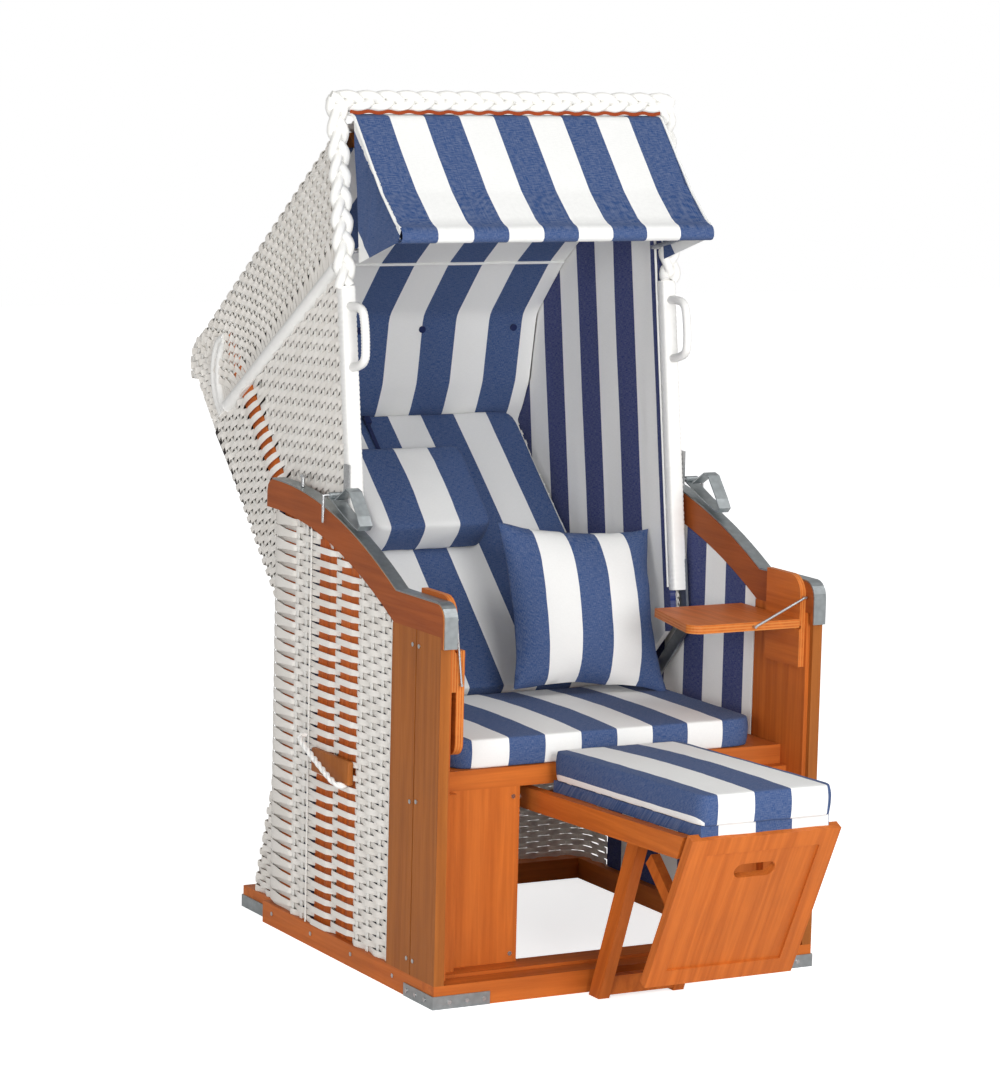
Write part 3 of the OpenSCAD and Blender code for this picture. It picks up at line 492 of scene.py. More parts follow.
class Basket:
    """Straps and stakes gathered in one mesh, with a tone for each strap."""

    def __init__(self):
        self.bm = bmesh.new()
        self.tone = self.bm.verts.layers.float.new("tone")

    def strap(self, points, ups, widths, tone, camber=0.6):
        last = len(points) - 1
        made = bmesh.ops.create_grid(self.bm, x_segments=last, y_segments=2, size=1)["verts"]
        for v in made:
            i, side = round((v.co.x + 1) / 2 * last), round(v.co.y)
            ahead = points[min(i + 1, last)] - points[max(i - 1, 0)]
            across = ups[i].cross(ahead).normalized()
            v.co = points[i] + across * (side * widths[i] / 2) + ups[i] * (0 if side else camber)
            v[self.tone] = tone

    def made(self, name, thickness, place, body, material=WICKER, replaced=(), slot="wicker"):
        thicken(self.bm, thickness)
        piece(name, self.bm, place, body, [material], replaced, 40)


def on_line(line, arcs, at):
    """Point and outward direction at a distance along line [(arc, point, up)]."""
    i, share = where(arcs, at)
    return line[i][1].lerp(line[i + 1][1], share), line[i][2].lerp(line[i + 1][2], share).normalized()


def weave_run(basket, line, knots, pinch, tone, steps=2):
    """One strap along line [(arc, point, up)] through knots (arc, level, width)."""
    arcs = [p[0] for p in line]
    points, ups, widths = [], [], []
    top = max(abs(k[1]) for k in knots) or 1
    for n, knot in enumerate(knots):
        after = knots[min(n + 1, len(knots) - 1)]
        for j in range(steps if n < len(knots) - 1 else 1):
            t = j / steps
            ease = (1 - math.cos(math.pi * t)) / 2
            arc = knot[0] + (after[0] - knot[0]) * t
            lift = knot[1] + (after[1] - knot[1]) * ease
            point, up = on_line(line, arcs, arc)
            points.append(point + up * lift)
            ups.append(up)
            wide = knot[2] + (after[2] - knot[2]) * t
            widths.append(wide * (1 - pinch * (1 - min(1, abs(lift) / top))))
    basket.strap(points, ups, widths, tone)


def hash_tone(n):
    """An even scatter of tones from 0 to 1, the same in each run."""
    return (math.sin(n * 12.9898) * 43758.5453) % 1.0


# Outline of the hood's side, from the front of the roof round to the low rear corner. The arc is the one in
# part.scad: it isn't tangent to the back, and stands about 20 mm proud where it ends.
CORNER_Z = ROOF_Z - (CORNER_Y - WRAP_Y) * math.tan(ROOF_FALL)
TANG = BULGE_R / math.tan((math.pi - ROOF_FALL - BACK_RISE) / 2)
ROOF_DIR = Vector((math.cos(ROOF_FALL), -math.sin(ROOF_FALL)))
BACK_DIR = Vector((-math.cos(BACK_RISE), -math.sin(BACK_RISE)))
ROOF_UP = Vector((math.sin(ROOF_FALL), math.cos(ROOF_FALL)))
BACK_UP = Vector((math.sin(BACK_RISE), -math.cos(BACK_RISE)))
ROOF_0 = Vector((WRAP_Y, ROOF_Z))
CORNER = Vector((CORNER_Y, CORNER_Z))
ROOF_END = CORNER - ROOF_DIR * TANG
BACK_START = CORNER + BACK_DIR * TANG
BULGE_C = ROOF_END - ROOF_UP * BULGE_R
ROOF_L = (ROOF_END - ROOF_0).length
BULGE_L = BULGE_R * (ROOF_FALL + BACK_RISE)
BACK_L = (CORNER_Y - LOW_Y) / math.cos(BACK_RISE) - TANG
FAN_L = ROOF_L + BULGE_L + 136
OUTLINE_L = ROOF_L + BULGE_L + BACK_L
POST_Y = WRAP_Y + 1


def outline(e):
    """Point and outward normal at a distance along the hood's outline."""
    if e <= ROOF_L:
        return ROOF_0 + ROOF_DIR * e, ROOF_UP
    if e <= ROOF_L + BULGE_L:
        a = math.pi / 2 - ROOF_FALL - (e - ROOF_L) / BULGE_R
        up = Vector((math.cos(a), math.sin(a)))
        return BULGE_C + up * BULGE_R, up
    return BACK_START + BACK_DIR * (e - ROOF_L - BULGE_L), BACK_UP


RIB = (Vector((POST_Y, 1266)), Vector((905, 1032)))
RING = smooth_line([(926, 1160, 0), (965, 1150, 0), (990, 1092, 0), (978, 1036, 0), (952, 1006, 0)], 4, 2)


def strap_end(e):
    """Where the strap that starts at e on the outline ends inside."""
    if e <= ROOF_L:
        return RIB[0].lerp(RIB[1], e / ROOF_L)
    if e <= FAN_L:
        p = RING[round((e - ROOF_L) / (FAN_L - ROOF_L) * (len(RING) - 1))]
        return Vector((p.x, p.y))
    return Vector((POST_Y, FAN_TOP - (FAN_TOP - FAN_LOW) * (e - FAN_L) / (OUTLINE_L - FAN_L)))


def stations():
    """Distances along the outline at which straps run, and their pitch."""
    made = []
    for start, end, pitch in ((0, ROOF_L, 18.0), (ROOF_L, FAN_L, 15.0), (FAN_L, OUTLINE_L, 12.75)):
        count = round((end - start) / pitch / 2) * 2
        made += [(start + (end - start) * (k + 0.5) / count, (end - start) / count) for k in range(count)]
    return made


def side_line(e, s):
    """A strap's line on the hood's side, from the seam with the roof or back."""
    start, out_dir = outline(e)
    end = strap_end(e)
    span = end - start
    length = span.length
    ahead = span / length
    steep = -ahead.dot(out_dir)
    line, arc, before = [], 0.0, None
    turns = [EDGE_R * (1 - math.cos(math.radians(a))) / steep for a in range(0, 91, 10)]
    stops = [d for d in turns if d < length]
    while stops[-1] < length:
        stops.append(min(length, stops[-1] + 9))
    for d in stops:
        a = math.acos(max(0.0, 1 - d * steep / EDGE_R))
        spot = start + ahead * d
        x = HOOD_HALF - SKIN - EDGE_R + EDGE_R * math.sin(a)
        up = Vector((s * math.sin(a), out_dir.x * math.cos(a), out_dir.y * math.cos(a)))
        spot = spot - out_dir * SKIN * math.cos(a)
        point = Vector((s * x, spot.x, spot.y))
        arc += (point - before).length if before else 0
        before = point
        line.append((arc, point, up))
    return line, stops, length, start, ahead, steep


def arc_at(line, stops, d):
    """Distance along the bent strap at a distance d along its straight line."""
    i, share = where(stops, d)
    return line[i][0] + (line[i + 1][0] - line[i][0]) * share


# Distances below the back's outline between which the side is open, with a slat behind
OPEN, SHUT = 170, 222


def side_straps(basket, s):
    """Straps of one side: roof to rib, corner to hub, and back to front post with the open stretch."""
    rows = stations()
    for n, (e, pitch) in enumerate(rows):
        line, stops, length, start, ahead, steep = side_line(e, s)
        sign = 1 if n % 2 else -1
        end_pitch = pitch
        crossings = []
        if e <= ROOF_L:
            end_pitch = pitch * (RIB[1] - RIB[0]).length / ROOF_L
            crossings = [(length * ROOF_SHARE * k / ROOF_STAKES, sign * (-1) ** k * LIFT)
                         for k in range(ROOF_STAKES + 1)]
            crossings += [(length * 0.85, 0.3 * sign), (length - 1, 0.0)]
        elif e <= FAN_L:
            end_pitch = pitch * 0.72
            crossings = [(length * k / FAN_STAKES, sign * (-1) ** k * LIFT) for k in range(FAN_STAKES)]
            crossings.append((length - 1, 0.0))
        else:
            inner_end = min(length, OPEN / steep)
            crossings = [(STAKE_GAP * k / steep, sign * (-1) ** k * LIFT) for k in range(7)
                         if STAKE_GAP * k / steep < inner_end - 6]
            if length > SHUT / steep + 20:
                crossings += [(at / steep, lift * sign) for at, lift in
                              ((OPEN - 4, -2.0), (OPEN + 8, -6.0), ((OPEN + SHUT) / 2, -8.0),
                               (SHUT - 8, -6.0), (SHUT + 4, -2.0))]
                posts = []
                for k in range(30):
                    d = (POST_Y + 8 + POST_GAP * k - start.x) / ahead.x
                    if d > (SHUT + 16) / steep:
                        posts.append((d, sign * (-1) ** k * LIFT))
                crossings += sorted(posts)
            crossings.append((length - 0.5, 0.0))
        knots = [(arc_at(line, stops, d), lift, pitch + (end_pitch - pitch) * d / length + 0.6)
                 for d, lift in crossings if d <= length]
        weave_run(basket, line, knots, 0.2, 0.5 * hash_tone(n), 2)


def side_stakes(basket, s):
    """Round-edged stakes behind the straps: along the roof, round the hub, and down the side."""
    rows = []
    for k in range(1, ROOF_STAKES + 1):
        rows.append([(e, ROOF_SHARE * k / ROOF_STAKES) for e in range(4, int(ROOF_L), 24)])
    for k in range(1, FAN_STAKES):
        rows.append([(e, k / FAN_STAKES) for e in range(int(ROOF_L) + 2, int(FAN_L), 12)])
    for row in rows:
        points, ups = [], []
        for e, share in row:
            line, stops, length, *_ = side_line(e, s)
            arc = arc_at(line, stops, length * share)
            point, up = on_line(line, [p[0] for p in line], arc)
            points.append(point - up * (STAKE_IN - SKIN))
            ups.append(up)
        basket.strap(points, ups, [STAKE_W] * len(points), 0.0)
    x, up = s * (HOOD_HALF - STAKE_IN), Vector((s, 0, 0))
    for k in range(2, 7):
        move = -BACK_UP * (STAKE_GAP * k)
        a, b = outline(FAN_L + 4)[0] + move, outline(OUTLINE_L - 4)[0] + move
        run = resample([(x, a.x, a.y), (x, b.x, b.y)], 30)
        run = [p for p in run if p.y > POST_Y and p.z > 500]
        basket.strap(run, [up] * len(run), [STAKE_W] * len(run), 0.0)
    for k in range(15):
        y = POST_Y + 8 + POST_GAP * k
        top = RIB[0].y + (y - POST_Y) * (RIB[1].y - RIB[0].y) / (RIB[1].x - RIB[0].x)
        base_pt = outline(OUTLINE_L)[0] - BACK_UP * (SHUT + 14)
        low = max(base_pt.y + (y - base_pt.x) * math.tan(BACK_RISE), 575)
        if top > low + 20:
            run = resample([(x, y, top), (x, y, low)], 30)
            basket.strap(run, [up] * len(run), [STAKE_W] * len(run), 0.0)


def hood_wicker(name, s, node_name):
    """One side of the hood: straps, stakes, the slat behind its open stretch, the wound rib and its hub."""
    basket, stakes, hub = Basket(), Basket(), Basket()
    side_straps(basket, s)
    basket.made(name, 1.5, HOOD, "hood", WICKER, [node_name])
    side_stakes(stakes, s)
    stakes.made(name + "_stakes", 2.0, HOOD, "hood", STAKE)
    slat = bmesh.new()
    mid = outline(FAN_L + 6)[0] - BACK_UP * (OPEN + SHUT) / 2
    low = outline(OUTLINE_L - 30)[0] - BACK_UP * (OPEN + SHUT) / 2
    centre = (mid + low) / 2 - BACK_DIR * 45
    turned = Matrix.Rotation(BACK_RISE - math.pi / 2, 4, "X")
    block(slat, shift(s * (HOOD_HALF - 8), centre.x, centre.y) @ turned,
          (4, SHUT - OPEN - 4, (mid - low).length + 90))
    soften(slat, 1)
    piece(name + "_slat", slat, HOOD, "hood", [SLAT])
    x = s * BRAID_X
    wound = smooth_line([(x, POST_Y + 2, RIB[0].y), (x, RIB[1].x + 20, RIB[1].y - 8)], 4, 0)
    rings = [[(x, p.x, p.y) for p in RING], [(x, p.x - 22, p.y - 4) for p in RING[6:-4]]]
    rope(name + "_rib", [(wound, lambda i: 15.0 if i % 2 else 13.4, False)]
         + [(ring, lambda i: 9.5 if i % 2 else 8.7, False) for ring in rings],
         HOOD, "hood", [WOUND])
    for k in range(9):
        run = resample([(x, 930 + 4 * k, 1140 - 12 * k), (x, 868 + 9.5 * k, 1052 - 5 * k)], 12)
        hub.strap(run, [Vector((s, 0, 0))] * len(run), [9.5] * len(run), 0.4 * hash_tone(k))
    hub.made(name + "_hub", 2.0, HOOD, "hood")


hood_wicker("hood_wicker_left", -1, "hood_side_left")
hood_wicker("hood_wicker_right", 1, "hood_side_right")

CROSSINGS = 36
back = Basket()
for n, (e, pitch) in enumerate(stations()):
    spot, out_dir = outline(e)
    spot = spot - out_dir * SKIN
    up = Vector((0, out_dir.x, out_dir.y))
    line = [(0.0, Vector((-SEAM_X, spot.x, spot.y)), up),
            (2.0 * SEAM_X, Vector((SEAM_X, spot.x, spot.y)), up)]
    sign = 1 if n % 2 else -1
    knots = [(2 * SEAM_X * k / CROSSINGS, sign * (-1) ** k * LIFT, pitch + 0.6) for k in range(CROSSINGS + 1)]
    weave_run(back, line, knots, 0.2, 0.5 * hash_tone(n), 2)
back.made("hood_wicker_back", 1.5, HOOD, "hood", WICKER, ["hood_shell"])
stakes = Basket()
bend, straight = int(ROOF_L), int(ROOF_L + BULGE_L)
spots = [outline(e) for e in (*range(0, bend, 60), *range(bend, straight, 14),
                              *range(straight, int(OUTLINE_L), 60), OUTLINE_L)]
for k in range(CROSSINGS + 1):
    x = -SEAM_X + 2 * SEAM_X * k / CROSSINGS
    stakes.strap([Vector((x, p.x - n.x * STAKE_IN, p.y - n.y * STAKE_IN)) for p, n in spots],
                 [Vector((0, n.x, n.y)) for p, n in spots], [6.5] * len(spots), 0.0)
stakes.made("hood_wicker_back_stakes", 2.0, HOOD, "hood", STAKE)

# ---------------- woven sides of the base


def arm_low(y):
    """Height of the arm's lower edge at a depth: level at the front, then a curve up."""
    left = 1 - min(1, max(0, (y - ARM_BEND - 3) / ARM_RUN))
    return ARM_Z - ARM_BAND + (ARM_RISE + 3) * (1 - left ** 2)


# Pitch of the rows, places of the stakes, and the open columns with slats behind
ROW = 12.2
BASE_STAKES = [199, 235, 279, 321]
REAR_STAKES = [556, 593]
SLATS = [(342, 420), (434, 512)]
FACE_X = HALF - 6


def base_wicker(name, s, node_name):
    basket = Basket()
    rows = int((arm_low(BASE_D) - SILL_H) / ROW)
    for n in range(rows):
        z = SILL_H + ROW * (n + 0.5)
        sign = 1 if n % 2 else -1
        front = PLANK_END + 3
        while arm_low(front) < z + 5 and front < 706:
            front += 3
        if front > 700:
            continue
        knots = [(front, 0.0, ROW)]
        knots += [(y, sign * (-1) ** k * LIFT, ROW + 1.2) for k, y in enumerate(BASE_STAKES)]
        for k, (a, b) in enumerate(SLATS):
            level_in = sign * (-1) ** k
            high, low_lift = (9.5, 5.5) if level_in > 0 else (-12.0, -11.0)
            width = ROW + 0.8
            knots += [(a - 3, level_in * 2.0, ROW), (a + 10, low_lift, width),
                      ((a + b) / 2, high * 0.6, width),
                      (b - 10, low_lift, width), (b + 3, level_in * 2.0, ROW)]
        knots += [(y, sign * (-1) ** k * LIFT, ROW + 1.2) for k, y in enumerate(REAR_STAKES)]
        broad, wide = (ROW * 1.3, 2 * ROW - 0.6) if sign > 0 else (ROW, ROW)
        knots += [(606, sign * LIFT * 0.8, ROW + 0.5), (640, sign * LIFT, broad),
                  (668, sign * LIFT * 0.8, wide), (711, 2.0 * sign, wide)]
        knots = [k for k in knots if k[0] > front + 2 or k[0] == front]
        line = []
        for y in list(range(int(front), 670, 20)) + [670, 680, 690, 700, 711]:
            turn = max(0.0, (y - 668) / 44)
            x = FACE_X - 12 * turn ** 2
            line.append((float(y), Vector((s * x, y, z)), Vector((s, 0.5 * turn, 0)).normalized()))
        line[0] = (float(front), line[0][1], line[0][2])
        weave_run(basket, line, knots, 0.18, 0.5 * hash_tone(n + 40), 3)
    basket.made(name, 1.5, BASE, "base", WICKER, [node_name])
    uprights = Basket()
    plain = [(y, 9.0, 0.0) for y in BASE_STAKES + REAR_STAKES]
    for y, wide, lift in plain + [(527, 4.0, 5.5), (427, 8.0, -5.0)]:
        top = arm_low(y)
        run = [Vector((s * (FACE_X + lift), y, z)) for z in (SILL_H, (SILL_H + top) / 2, top + 3)]
        uprights.strap(run, [Vector((s, 0, 0))] * 3, [wide] * 3, 0.0)
    uprights.made(name + "_stakes", 2.0, BASE, "base", STAKE)


base_wicker("side_wicker_left", -1, "side_weave_left")
base_wicker("side_wicker_right", 1, "side_weave_right")

slats = bmesh.new()
for s in (-1, 1):
    for a, b in SLATS + [(608, 664)]:
        middle = (a + b) / 2
        for lo, hi in ((a, middle - 0.5), (middle + 0.5, b)):
            top = min(arm_low(lo), arm_low(hi)) - 2
            block(slats, shift(s * 382.5, (lo + hi) / 2, (SILL_H + top) / 2), (6, hi - lo, top - SILL_H))
soften(slats, 1.2)
piece("side_slat_boards", slats, BASE, "base", [SLAT], ["side_slats"])

# Woven back of the base
bustle = Basket()
for n in range(32):
    z = SILL_H + 6 + ROW * n
    yc = 790 - (z - SILL_H) * 128 / 387
    sign = 1 if n % 2 else -1
    outer = EDGE_R - SKIN
    arc_pts = [(327 + outer * math.cos(math.radians(d)), yc + outer * math.sin(math.radians(d)))
               for d in range(0, 91, 10)]
    half_line = [(372, y) for y in range(BASE_D, int(yc), 12)] + [q for q in arc_pts if q[1] >= BASE_D]
    half_line += [(x, yc + outer) for x in range(300, 0, -30)]
    whole = [Vector((-x, y, z)) for x, y in half_line] + [Vector((x, y, z)) for x, y in half_line[::-1]]
    spaced = resample(whole, 13)
    line = []
    for i, (arc, p) in enumerate(zip(lengths(spaced), spaced)):
        t = spaced[min(i + 1, len(spaced) - 1)] - spaced[max(i - 1, 0)]
        line.append((arc, p, Vector((-t.y, t.x, 0)).normalized()))
    total = line[-1][0]
    knots = [(total * k / CROSSINGS, sign * (-1) ** k * LIFT, ROW + 0.8) for k in range(CROSSINGS + 1)]
    weave_run(bustle, line, knots, 0.2, 0.5 * hash_tone(n + 90), 2)
bustle.made("base_wicker_back", 1.5, BASE, "base", WICKER, ["base_back"])

# ---------------- braid, wound posts and handles


def plait(points, across, deep, wide, period=126, thick=7.5, radius=9.0, step=7):
    """Three strands crossing each other along a line."""
    line = resample(points, step)
    across, deep = Vector(across), Vector(deep)
    runs = []
    for k in range(3):
        strand = []
        for i, p in enumerate(line):
            a = 2 * math.pi * (i * step / period + k / 3)
            strand.append(p + across * wide * math.sin(a) + deep * thick * math.sin(2 * a))
        runs.append((strand, lambda i: radius * (1.0 if i % 2 else 0.97), False))
    return runs


rim_y = (376 + WRAP_Y) / 2
rim_mid = RIM_Z + RIM_H / 2
braids = plait([(-366, rim_y, rim_mid), (366, rim_y, rim_mid)], (0, 0, 1), (0, 1, 0), 12.5)
for s in (-1, 1):
    braids += plait([(s * BRAID_X, rim_y, rim_mid + 8), (s * 349, rim_y, BRAID_Z + 6)],
                    (1, 0, 0), (0, s, 0), 12.0)
rope("rim_plait", braids, HOOD, "hood", [BRAID], ["braided_rim"])

edging = Basket()
run = resample([(-332, 380.5, RIM_Z - 1), (332, 380.5, RIM_Z - 1)], 5)
edging.strap([p + Vector((0, 0, 1.5 * math.cos(p.x / 21 * math.pi))) for p in run],
             [Vector((0, -1, 0))] * len(run), [4.5] * len(run), 0.0, 0.2)
edging.made("rim_edging", 2.0, HOOD, "hood", plain_cloth("rust_edging", srgb(150, 62, 24)), slot="fabric")

post = bmesh.new()
TURNS = (0.95, 1.0, 1.0)
for s in (-1, 1):
    centre = s * POST_X
    ring = bmesh.ops.create_circle(post, segments=20, radius=1)["verts"]
    for v in ring:
        a = math.atan2(v.co.y, v.co.x)
        c, d = math.cos(a), math.sin(a)
        v.co = (centre + 14.6 * math.copysign(abs(c) ** 0.45, c),
                POST_MID + 12.6 * math.copysign(abs(d) ** 0.45, d), WRAP_Z)
    loop = list({e for v in ring for e in v.link_edges})
    z, turn = WRAP_Z, 0
    while z < BRAID_Z + 4:
        turn += 1
        z += 3.0
        made = bmesh.ops.extrude_edge_only(post, edges=loop)["geom"]
        loop = [g for g in made if isinstance(g, bmesh.types.BMEdge)]
        size = TURNS[turn % 3] / TURNS[(turn - 1) % 3]
        for v in (g for g in made if isinstance(g, bmesh.types.BMVert)):
            v.co = (centre + (v.co.x - centre) * size, POST_MID + (v.co.y - POST_MID) * size, z)
bmesh.ops.holes_fill(post, edges=post.edges[:], sides=0)
piece("wound_posts", post, HOOD, "hood", [WOUND], ["hood_posts"], 60)


def bow(half, reach):
    """Points of a rounded D, in (out, along)."""
    line = [(-4, half), (reach * 0.35, half), (reach * 0.92, half * 0.86), (reach, half * 0.3)]
    return smooth_line([(x, -y, 0) for x, y in line] + [(x, y, 0) for x, y in line[::-1]], 3, 3)


grips = [([(s * POST_X, HOOD_Y - p.x + 2, 1137 + p.y) for p in bow(56, 60)],
          lambda i: 8.6 if i % 2 else 7.7, False) for s in (-1, 1)]
rope("wound_grips", grips, HOOD, "hood", [WOUND], ["d_handles"])

ropes = []
for s in (-1, 1):
    for k in range(2):
        strand = []
        for i, p in enumerate(bow(84, 15)):
            a = i * 0.55 + k * math.pi
            strand.append((s * (HALF + 12 + p.x + 2.4 * math.cos(a)), 436 + p.y,
                           370 + p.y * 0.38 + 2.4 * math.sin(a)))
        ropes.append((strand, 3.6, False))
rope("carry_ropes", ropes, BASE, "base", [WOUND])
blocks = bmesh.new()
for s in (-1, 1):
    block(blocks, shift(s * (HALF + 3), 415.5, 361.5), (12, 155, 45))
soften(blocks, 3, 3)
piece("handle_blocks", blocks, BASE, "base", [PLANK], ["rope_handles"])

# ---------------- cushions


def shaped(w, l, t, cuts, crown, low, draw, side_bulge, knife=False, round_r=0):
    """A stuffed form: crowned, with drawn-in sides; knife gives a pillow whose faces meet at its edges."""
    bm = bmesh.new()
    bmesh.ops.create_cube(bm, size=2)
    bmesh.ops.subdivide_edges(bm, edges=bm.edges[:], cuts=cuts, use_grid_fill=True)
    for v in bm.verts:
        a, b, c = v.co
        a, b = math.sin(a * math.pi / 2) * 0.35 + a * 0.65, math.sin(b * math.pi / 2) * 0.35 + b * 0.65
        in_x, in_y = 1 - draw * (1 - b * b), 1 - draw * (1 - a * a)
        swell = (1 - a * a) * (1 - b * b)
        if knife:
            body = max(0.0, (1 - abs(a) ** 2.4)) ** 0.62 * max(0.0, (1 - abs(b) ** 2.4)) ** 0.62
            v.co = (w / 2 * a * in_x, l / 2 * b * in_y, t / 2 + c * (1.2 + (t / 2 - 1.2) * body))
        else:
            height = t / 2 - (crown if c > 0 else low)
            x = w / 2 * a * in_x + math.copysign(side_bulge, a) * (1 - c * c) * (abs(a) > 0.999)
            y = l / 2 * b * in_y + math.copysign(side_bulge, b) * (1 - c * c) * (abs(b) > 0.999)
            v.co = (x, y, t / 2 + c * height + (crown if c > 0 else -low) * abs(c) * swell)
            inner_x, inner_y = w / 2 - round_r, l / 2 - round_r
            past = Vector((max(0, abs(x) - inner_x), max(0, abs(y) - inner_y)))
            if past.x > 0 and past.y > 0:
                kept = past * (max(past) / past.length)
                v.co.x, v.co.y = math.copysign(inner_x + kept.x, x), math.copysign(inner_y + kept.y, y)
    if not knife:
        smooth(bm, 2)
    return bm


def crease(bm, amount, scale, seed):
    """Soft uneven creases."""
    bm.normal_update()
    for v in bm.verts:
        at = Vector(v.co) * scale + Vector((seed, seed * 2, 0))
        v.co += v.normal * amount * (noise.noise(at) + 0.5 * noise.noise(at * 2.3))


def lay_x(co, normal):
    """Stripes side by side across x; lay_y has them across y, for a side's cloth."""
    return co.x, co.y + co.z


def lay_y(co, normal):
    return co.y, co.z


def lay_band(co, normal):
    """Stripes that run on down the long sides of the footrest cushion."""
    wrapped = math.copysign(59 - co.z, normal.x) if abs(normal.x) > 0.7 else 0
    return co.x + wrapped, co.y + co.z


SEAT_CLOTH = cloth("seat_stripes", 75, start=-57.5)
pad = shaped(634, 402, 59, 30, 6, 0, 0.01, 4, round_r=46)
crease(pad, 0.8, 0.02, 1)
seat = piece("seat_pad", pad, BASE @ shift(0, 291, 408.3), "base", [SEAT_CLOTH],
             ["seat_cushion"], 80, lay_x)

pad = shaped(606, 700, 46, 30, 6, 0, 0.01, 3, round_r=30)
crease(pad, 0.8, 0.02, 2)
rest = piece("back_pad", pad, REST @ shift(0, 350, -46), "hood", [SEAT_CLOTH],
             ["back_cushion"], 80, lay_x)

pad = shaped(256, 206, 84, 20, 6, 2, 0.02, 6, round_r=24)
smooth(pad, 3)
crease(pad, 2.0, 0.02, 3)
roll_pad = piece("neck_bolster", pad, REST @ shift(-36, 440, 0.3), "hood",
                 [cloth("bolster_stripes", 75.5, start=-97)], ["bolster"], 80, lay_x)

pad = shaped(262, 520, 59, 30, 6, 0, 0.008, 4, round_r=22)
crease(pad, 0.7, 0.03, 4)
foot_pad = piece("foot_pad", pad, DECK @ shift(0, -350, 42.3), "footrest",
                 [cloth("foot_stripes", 74, start=-31)], ["footrest_cushion"], 80, lay_band)

pad = shaped(330, 330, 118, 24, 0, 0, 0.1, 0, knife=True)
crease(pad, 3.0, 0.014, 5)
turn = Matrix.Rotation(math.radians(-5), 4, "Z")
pillow = piece("square_pillow", pad, BASE @ shift(150, 408, 505.3) @ turn_x(66) @ shift(0, 127, -59) @ turn,
               "base", [cloth("pillow_stripes", 66, start=-33)], ["throw_pillow"], 80, lay_x)

under = bmesh.new()
bmesh.ops.create_cube(under, size=1)
bmesh.ops.subdivide_edges(under, edges=under.edges[:], cuts=9, use_grid_fill=True)
bmesh.ops.transform(under, matrix=shift(0, -343, 31) @ Matrix.Diagonal((258, 508, 21, 1)),
                    verts=under.verts)
crease(under, 1.2, 0.02, 6)
thin = piece("thin_pad", under, DECK, "footrest", [cloth("thin_stripes", 74, start=-20)],
             ["footrest_pad"], 60, lay_x)

# ---------------- linings of the hood
REST_U = Vector((math.cos(math.radians(REST_LEAN)), math.sin(math.radians(REST_LEAN))))
REST_N = Vector((REST_U.y, -REST_U.x))


def rest_pt(s, d):
    """Point s up the leaning back and d behind its face."""
    return Vector((511, 468)) + REST_U * s + REST_N * d


FACE = [Vector(p) for p in ((420, 1487), (777, 1293), (898, 1195), (940, 1060))]
FACE += [rest_pt(708, 6), rest_pt(706, 38), rest_pt(676, 47), rest_pt(90, 47)]
LINING_CLOTH = cloth("lining_stripes", 76, start=-81)
SIDE_CLOTH = cloth("side_lining_stripes", start=368, blue=srgb(18, 38, 104), white=srgb(242, 241, 238))


def sheet_form(profile, half, step_x, wave):
    """A sheet that hangs along a profile of (depth, height) points, across the hood."""
    bm = bmesh.new()
    rows = len(profile) - 1
    cols = round(2 * half / step_x)
    made = bmesh.ops.create_grid(bm, x_segments=cols, y_segments=rows, size=1)["verts"]
    arcs = lengths(profile)
    for v in made:
        i, u = round((v.co.y + 1) / 2 * rows), v.co.x
        p = profile[i]
        out = wave(u * half, arcs[i] / arcs[-1])
        a = profile[min(i + 1, rows)] - profile[max(i - 1, 0)]
        n = Vector((a.y, -a.x)).normalized()
        v.co = (u * half, p.x + n.x * out, p.y + n.y * out)
    return bm, arcs[-1]


def lining_wave(x, t):
    return 1.6 * noise.noise(Vector((x * 0.02, t * 6, 3))) + 1.2 * math.cos(x / 36 * math.pi) * 0.4


def lay_down(co, normal):
    return co.x, co.y - co.z


flat_face = flat(smooth_line(resample([(p.x, p.y, 0) for p in FACE], 15), 14, 2))
lining, _ = sheet_form(flat_face, 332, 12, lining_wave)
thicken(lining, 3)
back_lining = piece("roof_and_back_lining", lining, HOOD, "hood", [LINING_CLOTH],
                    ["hood_back_lining"], 60, lay_down)

for s, side_name in ((-1, "left"), (1, "right")):
    outline_pts = [(WRAP_Y, WRAP_Z), (WRAP_Y, ROOF_Z - 60)] + [(p.x, p.y) for p in FACE[:4]]
    outline_pts += [tuple(rest_pt(*at)) for at in ((714, 30), (706, 50), (30, 50))]
    outline_pts += [(505, 506), (WRAP_Y, 572)]
    side = bmesh.new()
    side.faces.new([side.verts.new((s * LINING_X, y, z)) for y, z in outline_pts])
    push(side, side.faces[:], s * 13)
    cuts = [((0, y, 0), (0, 1, 0)) for y in range(426, 1000, 15)]
    cuts += [((0, 0, z), (0, 0, 1)) for z in range(520, 1500, 40)]
    for at, facing in cuts:
        bmesh.ops.bisect_plane(side, geom=side.verts[:] + side.edges[:] + side.faces[:], plane_co=at,
                               plane_no=facing)
    for v in side.verts:
        if abs(v.co.x) < 334:
            fold = noise.noise(Vector((v.co.y * 0.035, v.co.z * 0.004, 7)))
            v.co.x += s * (1.2 + 1.6 * fold)
    for face in side.faces:
        # Faces towards the wicker take the dark backing cloth, painted shade seen through the gaps in the
        # weave
        face.material_index = 1 if all(abs(v.co.x) > 345 for v in face.verts) else 0
    lining_side = piece("side_lining_" + side_name, side, HOOD, "hood", [SIDE_CLOTH, PAINTED_SHADE_BACKING],
                        ["hood_side_linings"] if s > 0 else (), 50, lay_y)

# Striped cloth over the inner linings of the base
below = bmesh.new()
for s in (-1, 1):
    top = [(y, arm_low(y) - 1) for y in range(712, 188, -16)] + [(191, arm_low(191) - 1)]
    corners = [(191, SILL_H + 1), (711, SILL_H + 1)] + top
    push(below, [below.faces.new([below.verts.new((s * INNER, y, z)) for y, z in corners])], s * 5.5)
cover = piece("base_side_cloth", below, BASE, "base", [SIDE_CLOTH], ["base_linings"], 40, lay_y)

